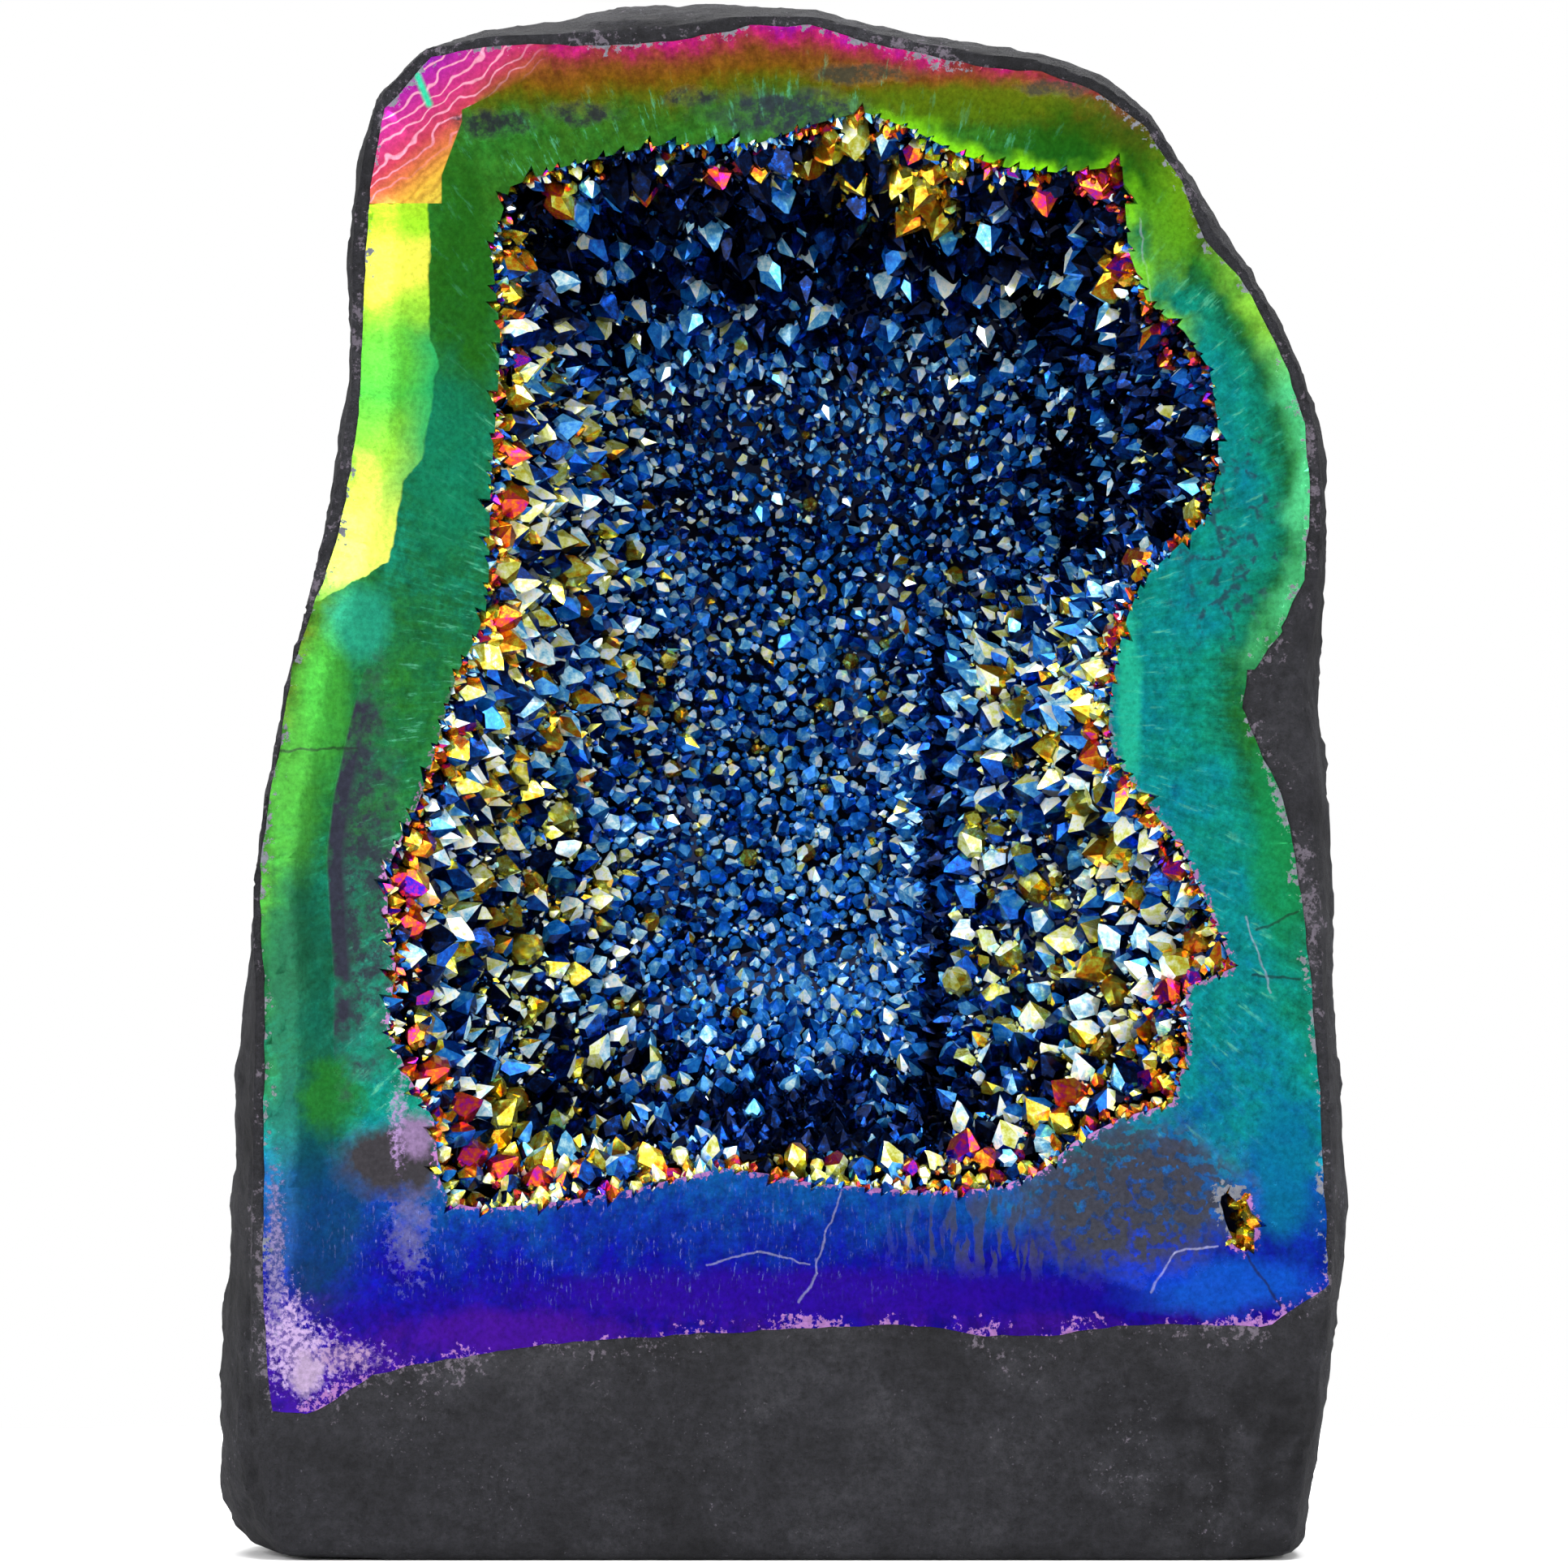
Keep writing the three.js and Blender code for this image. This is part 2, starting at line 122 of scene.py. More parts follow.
def node(tree, kind, inputs=None, **settings):
    made = tree.nodes.new("ShaderNode" + kind)
    for name, value in settings.items():
        setattr(made, name, value)
    live = [socket for socket in made.inputs if socket.enabled]
    for key, value in (inputs or {}).items():
        socket = live[key] if isinstance(key, int) else next(s for s in live if s.name == key)
        if isinstance(value, bpy.types.NodeSocket):
            tree.links.new(value, socket)
        else:
            socket.default_value = linear(value) if isinstance(value, str) else value
    return next((socket for socket in made.outputs if socket.enabled), None)


def set_stops(ramp_output, stops, interpolation="LINEAR"):
    """Fills a colour ramp with (place, colour or grey value) stops."""
    ramp = ramp_output.node.color_ramp
    ramp.interpolation = interpolation
    while len(ramp.elements) < len(stops):
        ramp.elements.new(1)
    for element, (place, value) in zip(ramp.elements, stops):
        element.position = place
        element.color = linear(value) if isinstance(value, str) else (value, value, value, 1)
    return ramp_output


def new_material(name):
    material = bpy.data.materials.new(name)
    material.use_nodes = True
    material.node_tree.nodes.clear()
    return material, functools.partial(node, material.node_tree)


# %% [markdown]
# ## The rock
#
# The basalt's skin is rough in three sizes: lumps as wide as a finger, small round pits left by gas bubbles, and a
# sandy grain. The lumps and pits are real relief, so the outline shows them, and the grain is left to the material.
# The solid's long triangles can't hold relief. A Remesh modifier lays an even grid over the copy first, and each
# vertex then moves inwards, never out of the solid's box. The sawn face and the base stay flat.


# %% An even grid over a solid
def on_even_grid(shape, spacing):
    work = as_object(as_mesh(shape, "work"))
    grid = work.modifiers.new("even grid", "REMESH")
    grid.mode = "VOXEL"
    grid.voxel_size = spacing
    even = bmesh.new()
    even.from_object(work, bpy.context.evaluated_depsgraph_get())
    bpy.data.objects.remove(work)
    return even


def soft_step(value, low, high):
    held = min(1, max(0, (value - low) / (high - low)))
    return held * held * (3 - 2 * held)


# %% Where the polished band's edges run
def sawn_faces(band):
    return [f for f in band.faces if all(v.co.y < FRONT + 0.02 * MM for v in f.verts)]


def edge_points(band, outer):
    """Points a millimetre apart along the outer or the inner edges of the sawn face, with their outward directions."""
    face_set = set(sawn_faces(band))
    found = []
    for edge in band.edges:
        sides = [f in face_set for f in edge.link_faces]
        if sum(sides) != 1:
            continue
        start, end = (v.co for v in edge.verts)
        wall = edge.link_faces[sides.index(False)]
        across = (end - start).cross(Vector((0, 1, 0))).normalized()
        outward = across if across.dot((start + end) / 2 - MIDDLE) > 0 else -across
        if (wall.normal.dot(outward) > 0) != outer:
            continue
        steps = max(1, round((end - start).length / MM))
        found += [(start.lerp(end, (i + 0.5) / steps), outward) for i in range(steps)]
    return found


def finder(found):
    tree = KDTree(len(found))
    for i, (point, _) in enumerate(found):
        tree.insert(point, i)
    tree.balance()
    return tree


band_shape = joined_copy("quartz_band")
band_shape.normal_update()
outer_edge_points = edge_points(band_shape, True)
outer_edge = finder(outer_edge_points)
opening_edge_points = edge_points(band_shape, False)
opening_edge = finder(opening_edge_points)
print("opening's edge:", len(opening_edge_points), "mm; outer edge:", len(outer_edge_points), "mm")

# %% The rock's skin
ROCK_GRID = 1.7 * MM
EDGE_DROP = 0.5  # how far the polish rolls the face back at its outer edge, in mm


def edge_roll(z_mm):
    """The roll of the rim's outer edge fades out where the rim meets the flat front below it."""
    return EDGE_DROP * soft_step(z_mm, 40, 56)


def rock_depth(at):
    """How far the skin sinks at a place, in mm. The rock is thin beside the rim, so the relief is lower there."""
    strength = 1 + 1.8 * soft_step(at.y - FRONT / MM, 14, 45)
    lumps = noise.fractal(at / 15, 0.7, 2.1, 3)
    broken = abs(noise.fractal(at / 7 + Vector((3, 5, 7)), 0.9, 2.1, 3))
    grit = noise.noise(at / 2.6)
    bubble = noise.voronoi(at / 6)[0][0]
    pit = 0.9 * (1 - soft_step(bubble, 0.12, 0.4)) * soft_step(noise.noise(at / 30 + Vector((7, 3, 1))), -0.1, 0.3)
    return strength * (0.55 + 0.55 * lumps + 0.75 * broken + 0.2 * grit) + pit


def front_depth(at):
    """The same on the sawn front, which is flat but for its broken lower right."""
    broken = soft_step(at.x, 30, 78) * (1 - soft_step(at.z, 22, 36))
    lumps = noise.fractal(at / 5, 0.8, 2.1, 3)
    streaks = noise.fractal(Vector((at.x / 9, at.y / 3, at.z / 2.6)), 0.8, 2.1, 3)
    return 0.12 + 0.09 * noise.noise(at / 1.9) + 0.1 * streaks + broken * max(0, 0.25 + 0.6 * lumps)


rock_shape = on_even_grid(joined_copy("basalt_rock"), ROCK_GRID)
rock_shape.normal_update()
from_rim = rock_shape.verts.layers.float.new("from_rim")
sunk = rock_shape.verts.layers.float.new("sunk")
for vert in rock_shape.verts:
    at = vert.co / MM
    vert[from_rim] = (outer_edge.find(vert.co)[2]) / MM
    on_front = soft_step(-vert.normal.y, 0.8, 0.97) * (1 - soft_step(vert.co.y - FRONT, 0.5 * MM, 2 * MM))
    on_base = soft_step(-vert.normal.z, 0.8, 0.97)
    beside_rim = (1 - soft_step(vert[from_rim], 2.5, 4.5)) * (1 - soft_step(vert.co.y - FRONT, 2 * MM, 3 * MM))
    sink = rock_depth(at) * (1 - on_front) * (1 - on_base) * (1 - beside_rim) + front_depth(at) * on_front
    vert.co -= vert.normal * max(0, sink) * MM * soft_step(at.z, 0, 5)
    vert[sunk] = sink / (1 + 3 * (1 - on_front)) - 0.1 * on_front
    # Remeshing rounded the edge along the rim, so the sawn face is brought forward again there.
    vert.co.y += (FRONT + 0.08 * MM - vert.co.y) * beside_rim
    vert.co.y += max(on_front, beside_rim) * 1.2 * edge_roll(at.z) * MM
    vert.co.y = max(FRONT, vert.co.y)
    vert.co.z = max(0, vert.co.z)
for face in rock_shape.faces:
    face.smooth = True
print("rock:", len(rock_shape.faces), "faces on an even grid")

# %% [markdown]
# ## The polished rim
#
# The saw cut through the feet of the outermost quartz points, so the opening's edge isn't smooth: small valleys
# between points run out into the rim like teeth. Each valley is a three-sided cone that gets narrower with depth,
# and a Boolean modifier takes all of them out of the rim at once.


# %% Small valleys along the opening's edge
UPPER_RIGHT_CORNER = Vector((54 * MM, FRONT, 233 * MM))
valleys = []


def valley_cutters(dice):
    cutters = bmesh.new()
    spots = opening_edge_points
    chosen = []
    for i in dice.sample(range(len(spots)), len(spots)):
        spot, outward = spots[i]
        on_left = soft_step(-spot.x, 0.03, 0.05) * (1 - soft_step(spot.z, 0.12, 0.17))
        corner = 1 - soft_step((spot - UPPER_RIGHT_CORNER).length, 5 * MM, 12 * MM)
        radius = (0.8 + 1.5 * dice.random() ** 2) * (1 + 0.5 * on_left + 0.7 * corner) * MM
        if any((spot - other).length < 0.85 * (radius + size) for other, size in chosen):
            continue
        chosen.append((spot, radius))
        reach = min(dice.uniform(0.8, 1.5) * (1 + 0.3 * on_left), 3.4 * MM / radius)
        turn = Matrix((outward, (0, -1, 0), outward.cross(Vector((0, -1, 0))))).transposed().to_4x4()
        place = Matrix.Translation(spot + Vector((0, 2.4 * MM, 0)) - outward * 0.35 * radius)
        upright = Matrix.Rotation(-math.pi / 2, 4, "X")
        stretch = Matrix.Diagonal((reach, 1, 1, 1))
        bmesh.ops.create_cone(
            cutters,
            cap_ends=True,
            segments=3,
            radius1=0.25 * radius,
            radius2=1.25 * radius,
            depth=6 * MM,
            matrix=place @ turn @ stretch @ upright,
        )
        for share, size in ((0.25, 1.05), (0.6 * reach, 0.7), (reach, 0.4)):
            valleys.append((spot + outward * share * radius, outward, size * radius / MM))
    print("valleys along the opening:", len(chosen))
    bmesh.ops.recalc_face_normals(cutters, faces=cutters.faces)
    return cutters


def without(shape, cutters):
    body = as_object(as_mesh(shape, "body"))
    tool = as_object(as_mesh(cutters, "tool"))
    cut = body.modifiers.new("valleys", "BOOLEAN")
    cut.operation = "DIFFERENCE"
    cut.solver = "EXACT"
    cut.use_self = True
    cut.object = tool
    result = bmesh.new()
    result.from_object(body, bpy.context.evaluated_depsgraph_get())
    bpy.data.objects.remove(body)
    bpy.data.objects.remove(tool)
    bmesh.ops.remove_doubles(result, verts=result.verts, dist=0.003 * MM)
    result.normal_update()
    return result


band_shape = without(band_shape, valley_cutters(random.Random(12)))

# %% [markdown]
# Polishing leaves the rim flat, but wears its outer edge into a soft roll, which is what catches the studio's
# lights. The sawn face of the solid is one large flat ring of long triangles, so rows of cuts lay a grid of
# vertices over it. Each vertex stores how far it lies from the rim's outer edge and from the opening. The material
# needs both distances, because the film's colours follow the edges.

# %% The rim's grid, roll and distances
RIM_GRID = 2.4


def cut_into_grid(band):
    geometry = [*band.verts, *band.edges, *band.faces]
    for axis, low, high in ((0, -90, 92), (2, 24, 258)):
        normal = Vector((axis == 0, 0, axis == 2))
        for step in range(int((high - low) / RIM_GRID) + 1):
            plane = normal * (low + step * RIM_GRID) * MM
            geometry = bmesh.ops.bisect_plane(
                band, geom=geometry, dist=1e-6 * MM, plane_co=plane, plane_no=normal
            )["geom"]


cut_into_grid(band_shape)
from_edge = band_shape.verts.layers.float.new("from_edge")
from_opening = band_shape.verts.layers.float.new("from_opening")
for vert in band_shape.verts:
    edge_distance = outer_edge.find(vert.co)[2] / MM
    vert[from_edge] = edge_distance
    vert[from_opening] = opening_edge.find(vert.co)[2] / MM
    if vert.co.y < FRONT + 0.02 * MM:
        wave = 0.05 * noise.noise(vert.co / MM / 24)
        roll = edge_roll(vert.co.z / MM) * (1 - soft_step(edge_distance, 0, 5)) ** 1.5
        vert.co.y = max(FRONT, vert.co.y) + max(0, roll + wave) * MM
        if edge_distance < 0.6 and any(f.normal.y > -0.5 for f in vert.link_faces):
            # The quartz has grown onto the rock, so its edge reaches over the solids' gap, a little unevenly.
            outward = outer_edge_points[outer_edge.find(vert.co)[1]][1]
            reach = 0.75 + soft_step(-outward.z, 0.3, 0.7) + 0.4 * noise.noise(vert.co / MM / 3)
            vert.co += outward * reach * MM
for face in band_shape.faces:
    face.smooth = face.normal.y < -0.9
print("rim:", len(band_shape.faces), "faces")

# %% [markdown]
# ## The quartz points
#
# A quartz point is a six-sided prism under six sloping faces, often three larger and three smaller, which stand at
# 52 degrees to the prism's base. A cone with equal radii gives the prism, and six plane cuts give the
# slopes. A dozen variants are made once, and thousands of turned and scaled copies are joined from arrays into one
# mesh, because separate objects would be slow. Big points are placed first, and small ones fill the gaps, as in a
# real druse. They stand on a smoothed copy of the coarse crust.

# %% A dozen quartz points
SLOPE = math.radians(51.8)
SHOULDER = 0.866 * math.tan(SLOPE)  # from the foot of the sloping faces to the tip, for a prism of radius 1
ROOT = 2.2  # how far the prism reaches down below its shoulder
VARIANTS = 12


def quartz_point(dice):
    shape = bmesh.new()
    bmesh.ops.create_cone(
        shape, cap_ends=True, segments=6, radius1=1, radius2=1, depth=2 * ROOT, matrix=Matrix.Rotation(math.pi / 6, 4, "Z")
    )
    small_faces = 0.14 * dice.random()
    for side in range(6):
        turn = side * math.pi / 3 + dice.uniform(-0.06, 0.06)
        slope = SLOPE + dice.uniform(-0.05, 0.05)
        normal = Vector((math.cos(turn) * math.sin(slope), math.sin(turn) * math.sin(slope), math.cos(slope)))
        reach = SHOULDER * math.cos(slope) + (small_faces if side % 2 else 0) + dice.uniform(-0.05, 0.05)
        cut = bmesh.ops.bisect_plane(
            shape,
            geom=[*shape.verts, *shape.edges, *shape.faces],
            dist=1e-4,
            plane_co=normal * reach,
            plane_no=normal,
            clear_outer=True,
        )
        rim = [e for e in cut["geom_cut"] if isinstance(e, bmesh.types.BMEdge)]
        bmesh.ops.contextual_create(shape, geom=rim)
    bmesh.ops.remove_doubles(shape, verts=shape.verts, dist=0.03)
    bmesh.ops.recalc_face_normals(shape, faces=shape.faces)
    shape.verts.index_update()
    corners = np.array([v.co for v in shape.verts])
    faces = [[v.index for v in f.verts] for f in shape.faces]
    normals = np.array([f.normal for f in shape.faces])
    shape.free()
    return corners, faces, normals


dice = random.Random(4)
points = [quartz_point(dice) for _ in range(VARIANTS)]
print("faces of the variants:", [len(faces) for _, faces, _ in points])


# %% The bed that the points stand on
def faces_hollow(face):
    """Whether a face of the bed looks into the hollow."""
    centre = face.calc_center_median()
    axis_point = Vector((MIDDLE.x, FRONT, min(max(centre.z, 95 * MM), 205 * MM)))
    return face.normal.dot(axis_point - centre) > 0 and centre.y > FRONT + 0.3 * MM


bed_shape = joined_copy("crystal_crust")
bed_shape.normal_update()
print("bed before smoothing:", len(bed_shape.verts), "vertices")
close_mesh = [v for v in bed_shape.verts if sum(e.calc_length() for e in v.link_edges) < 9.5 * MM * len(v.link_edges)]
for _ in range(7):
    bmesh.ops.smooth_vert(bed_shape, verts=close_mesh, factor=0.6, use_axis_x=True, use_axis_y=True, use_axis_z=True)
bed_shape.normal_update()
inner = [f for f in bed_shape.faces if faces_hollow(f)]
print("bed:", len(bed_shape.faces), "faces, of which", len(inner), "look into the hollow;", len(close_mesh), "smoothed")

# The crust of the solids ends a few millimetres behind the sawn face. Points grow on the bare band there as well.
collar_shape = joined_copy("quartz_band")
collar_shape.normal_update()
bed_tree = BVHTree.FromBMesh(bed_shape)
collar = [f for f in collar_shape.faces if faces_hollow(f)]
collar = [f for f in collar if bed_tree.ray_cast(f.calc_center_median(), f.normal, 20 * MM)[0] is None]
print("faces of the band in the hollow that the bed leaves bare:", len(collar))

# %% [markdown]
# Where a point stands decides its size and its colours. On the real geode the points on the left wall, on the lobe
# at the lower right and along the opening are large, and the film on them has passed from blue to silver and gold.
# Those deep in the middle are small and blue, and those at the very edge of the opening go on to orange, magenta and
# violet.


# %% Where the film is thick and the points are large
def hump(value, middle, width):
    return np.exp(-(((value - middle) / width) ** 2))


def step_up(value, low, high):
    held = np.clip((value - low) / (high - low), 0, 1)
    return held * held * (3 - 2 * held)


def gold_share(x, z, depth):
    """From 0, all blue, to 1, mostly silver and gold. Places are in mm; depth, behind the sawn face, is not used."""
    left = step_up(-x, 12, 46) * (1 - step_up(z, 165, 235)) + 0.55 * step_up(-x, 30, 48)
    right = step_up(x, 24, 36) * (1 - step_up(z, 135, 175)) + 0.5 * step_up(x, 58, 70)
    lip = 1 - step_up(z, 62, 71)
    middle = 0.35 * hump(x, 12, 26) * hump(z, 140, 34)
    return np.clip(left + right + lip + middle, 0, 1)


def crease_shade(x, z):
    """Painted shade in the cleft beside the right lobe: the points there are darkened."""
    return hump(x, 26.5 + 0.02 * (z - 110), 2.2) * step_up(z, 64, 70) * (1 - step_up(z, 150, 158))


def foot_shade(x, z):
    """The foot of the hollow, just above its lower row of points, where the points get painted shade."""
    return 0.97 * hump(x, 0, 34) * step_up(z, 65, 68) * (1 - step_up(z, 76, 88))


def right_lobe(x, z):
    """The upper lobe on the right, a pocket where the points get painted shade and few are bright."""
    return step_up(x, 38, 52) * step_up(z, 158, 170) * (1 - step_up(z, 204, 214))


def shade(x, z):
    """Painted shade at the foot, the right lobe and the overhang at the top: points there are darkened, and few facets
    are bright.
    """
    overhang = 0.75 * step_up(z, 198, 222) * (1 - step_up(z, 234, 238))
    return np.clip(overhang + foot_shade(x, z) + 0.6 * right_lobe(x, z), 0, 1)


def large_share(x, z, depth):
    top = step_up(z, 196, 212)
    return np.clip(0.25 + 0.75 * np.maximum(gold_share(x, z, depth), top) - 0.3 * step_up(depth, 30, 58), 0, 1)


# %% Scatter the points, large ones first
CROWDING = 0.72  # distance between neighbours, as a share of their radii together
CELL = 3.2  # the side of the boxes that neighbours are looked for in, in mm
AROUND = [(i, j, k) for i in (-1, 0, 1) for j in (-1, 0, 1) for k in (-1, 0, 1)]


def candidates(faces, tries, generator):
    """Random places on the faces in mm, their depths, and the bed's normals there."""
    corners = np.array([[v.co / MM for v in f.verts] for f in faces])
    corner_normals = np.array([[v.normal for v in f.verts] for f in faces])
    areas = np.linalg.norm(np.cross(corners[:, 1] - corners[:, 0], corners[:, 2] - corners[:, 0]), axis=1) / 2
    chosen = generator.choice(len(faces), tries, p=areas / areas.sum())
    weights = generator.dirichlet((1, 1, 1), tries)[:, :, None]
    places = (corners[chosen] * weights).sum(1)
    normals = (corner_normals[chosen] * weights).sum(1)
    return places, places[:, 1] - FRONT / MM, normals / np.linalg.norm(normals, axis=1)[:, None]


def without_crowding(places, radii, taken):
    """The indices of the places that keep clear of each other and of those already taken."""
    kept = []
    for i in np.argsort(-radii):
        x, y, z = places[i]
        key = (int(x // CELL), int(y // CELL), int(z // CELL))
        near = (n for d in AROUND for n in taken.get((key[0] + d[0], key[1] + d[1], key[2] + d[2]), ()))
        if all(
            (x - nx) ** 2 + (y - ny) ** 2 + (z - nz) ** 2 >= (CROWDING * (radii[i] + nr)) ** 2 for nx, ny, nz, nr in near
        ):
            taken.setdefault(key, []).append((x, y, z, radii[i]))
            kept.append(i)
    return kept


generator = np.random.default_rng(21)
taken = {}
places, depths, normals = candidates(inner, 50000, generator)
large = large_share(places[:, 0], places[:, 2], depths)
smallest = 0.85 + 0.4 * large
radii = smallest + (0.9 + 1.15 * large) * generator.random(len(places)) ** 2.6
radii = np.minimum(radii, 1.2 + 0.5 * depths)
kept = without_crowding(places, radii, taken)
feet, foot_normals = np.column_stack([places, radii])[kept], normals[kept]
print("points:", len(feet), "with radii from", feet[:, 3].min().round(2), "to", feet[:, 3].max().round(2), "mm")

places, depths, normals = candidates(inner, 60000, generator)
radii = 0.42 + 0.42 * generator.random(len(places))
kept = without_crowding(places, radii, taken)
small_feet, small_normals = np.column_stack([places, radii])[kept], normals[kept]
print("small points between them:", len(small_feet))

places, depths, normals = candidates(collar, 12000, generator)
places, normals = places[depths > 2], normals[depths > 2]
radii = 0.6 + 0.5 * generator.random(len(places))
kept = without_crowding(places, radii, taken)
small_feet = np.vstack([small_feet, np.column_stack([places, radii])[kept]])
small_normals = np.vstack([small_normals, normals[kept]])
collar_shape.free()
print("points on the bare band behind the sawn face:", len(kept))


# %% The row along the opening
def rim_row(generator):
    """Points along the opening, just behind the sawn face and in the small valleys, leaning into the hollow."""
    rows, normals = [], []
    for spot, outward in opening_edge_points:
        large = spot.z < 74 * MM or (spot.x < -30 * MM and spot.z < 170 * MM)
        for _ in range(2):
            radius = generator.uniform(0.8, 1.9) * (1.3 if large else 1)
            out = generator.uniform(-1.6, 0.9)
            place = np.array(spot) / MM + out * np.array(outward) + (0, 0.6 + generator.uniform(0.9, 1.6) * radius, 0)
            if any(np.sum((place - row[:3]) ** 2) < (0.55 * (radius + row[3])) ** 2 for row in rows):
                continue
            rows.append((*place, radius))
            normals.append(-0.75 * np.array(outward) + (0, -0.65, 0))
    for spot, outward, radius in valleys:
        radius *= generator.uniform(0.8, 1)
        rows.append((*(np.array(spot) / MM + (0, 1.1 * radius, 0)), radius))
        normals.append(-0.6 * np.array(outward) + (0, -0.8, 0))
    return np.array(rows), np.array(normals)


rim_feet, rim_normals = rim_row(np.random.default_rng(5))
feet, foot_normals = np.vstack([rim_feet, feet]), np.vstack([rim_normals, foot_normals])
print("points in the row along the opening:", len(rim_feet))

# %% [markdown]
# Each facet gets its own film value: 0 is the thinnest film, near black, and 1 the thickest. The value starts from
# the place, and then differs from point to point and from facet to facet. Facets that face the front and its lights
# get a paler value: partly because the metal settled more on faces that looked at its source, partly as a painted
# highlight. A face attribute carries it, so that a facet is one colour from edge to edge.


# %% Join the copies, with a film value on each facet
# Facets facing this way, towards the front and its lights, are painted pale: partly a thicker film, partly a painted
# highlight.
METAL_AND_LIGHT_SOURCE = (-0.2, -0.85, 0.3)  # the way to where the metal's vapour came from, roughly
# Painted shade: the bed between the points gets a value below 0, so that it is painted black.
BED_PAINTED_SHADE = -0.3  # below 0, so that the gaps between the points stay black everywhere


def film_values(place, facets, generator):
    """The film on the facets of one point, from their outward normals."""
    x, y, z = place
    depth = y - FRONT / MM
    top = step_up(z, 218, 228) * (1 - hump(x, 24, 17))
    corner = hump(x, 54, 9) * hump(z, 232, 12)
    violet = max(step_up(-x, 40, 50) * (1 - step_up(z, 118, 134)), corner, 0.8 * step_up(x, 38, 50))
    plain = (0.35 * top + 0.4 * right_lobe(x, z)) * (1 - corner)
    lower_row = 1 - step_up(z, 66, 78)
    gold_cluster = hump(x, 22, 13) * hump(z, 235, 9)
    gold = gold_share(x, z, depth)
    thin = 0.06 + 0.22 * generator.random() ** 1.2 * (1 - 0.5 * gold) + 0.14 * hump(x, 5, 28) * hump(z, 114, 50)
    dim = shade(x, z)
    at_lip = (1 - step_up(depth, 3, 9)) * (1 - 0.9 * foot_shade(x, z))
    if generator.random() < at_lip * (0.8 - plain):
        thin = generator.choice([0.05 + 0.2 * generator.random(), 0.68 - 0.08 * lower_row + 0.2 * generator.random()])
        thick = 0.67 - 0.08 * lower_row + 0.3 * generator.random() ** (1.5 - 0.9 * violet)
        if generator.random() < max(0.15 * lower_row, corner):
            thin, thick = 0.85, generator.uniform(0.8, 1)
    elif generator.random() < gold_cluster:
        thin, thick = generator.uniform(0.68, 0.8), generator.uniform(0.62, 0.78)
    # Painted shade: a point in a shaded place is darkened and gets no bright facet.
    elif generator.random() < dim:
        thin *= 0.4
        thick = thin
    elif generator.random() < 0.85 * gold:
        thick = generator.uniform(0.52, 0.75)
        thin = generator.uniform(0.69, 0.77) if generator.random() < 0.2 else thin
    else:
        thick = 0.34 + 0.28 * generator.random()
    if hump(x, 76, 5) * hump(z, 57, 9) > 0.4:
        thin, thick = 0.72, generator.uniform(0.74, 0.82)
    # Painted highlight, partly a thicker film: facets that face the front and its lights get the thick, pale value.
    source = np.array(METAL_AND_LIGHT_SOURCE) + generator.normal(0, 0.5, 3)
    facing = facets @ (source / np.linalg.norm(source))
    coated = np.clip((facing - 0.55 + 0.1 * gold) / 0.35, 0, 1) ** 1.5
    values = thin + (thick - thin) * coated + 0.03 * generator.uniform(-1, 1, len(facets))
    # Painted shade: the points in the cleft are darkened.
    return list(values * (1 - 0.9 * crease_shade(x, z)))


def joined_points(name, bed, feet, foot_normals, seed):
    """One mesh of all the points at these feet, and of the bed if there is one."""
    generator = np.random.default_rng(seed)
    corners = [np.array([v.co / MM for v in bed.verts]).reshape(-1, 3)]
    bed.verts.index_update()
    faces = [[v.index for v in f.verts] for f in bed.faces]
    # The bed is painted black, as shade between the points.
    film = [BED_PAINTED_SHADE] * len(faces)
    offset = len(corners[0])
    for (x, y, z, radius), normal in zip(feet, foot_normals):
        point_corners, point_faces, point_normals = points[generator.integers(VARIANTS)]
        wall = 1 - abs(normal[1])
        axis = Vector(normal) + Vector((0, -0.45 * wall, 0)) + Vector(generator.normal(0, 0.22, 3))
        turn = axis.to_track_quat("Z", "Y").to_matrix() @ Matrix.Rotation(generator.random() * math.tau, 3, "Z")
        turn = np.array(turn)
        stretch = radius * np.array([1, generator.uniform(0.75, 1), generator.uniform(0.95, 1.3)])
        lift = radius * generator.uniform(-0.25, 0.5)
        place = np.array([x, y, z])
        placed = (point_corners * stretch) @ turn.T + place + turn[:, 2] * lift
        placed[:, 1] += min(1.2, max(0, FRONT / MM + 0.05 - placed[:, 1].min()))
        corners.append(placed)
        faces += [[offset + i for i in face] for face in point_faces]
        film += film_values(place, point_normals @ turn.T, generator)
        offset += len(point_corners)
    corners = np.concatenate(corners)
    corners[:, 1] = np.maximum(corners[:, 1], FRONT / MM + 0.05)
    mesh = bpy.data.meshes.new(name)
    mesh.from_pydata((corners * MM).tolist(), [], faces)
    mesh.attributes.new("film", "FLOAT", "FACE").data.foreach_set("value", film)
    return mesh


points_mesh = joined_points("crystal_points", bed_shape, feet, foot_normals, 8)
bed_shape.clear()
small_mesh = joined_points("small_crystal_points", bed_shape, small_feet, small_normals, 9)
bed_shape.free()

# %% [markdown]
# ## Finishes
#
# Basalt is a fine-grained lava. Broken, it is matt, dark grey and slightly warm, with a sandy grain and tiny crystals
# that catch the light.


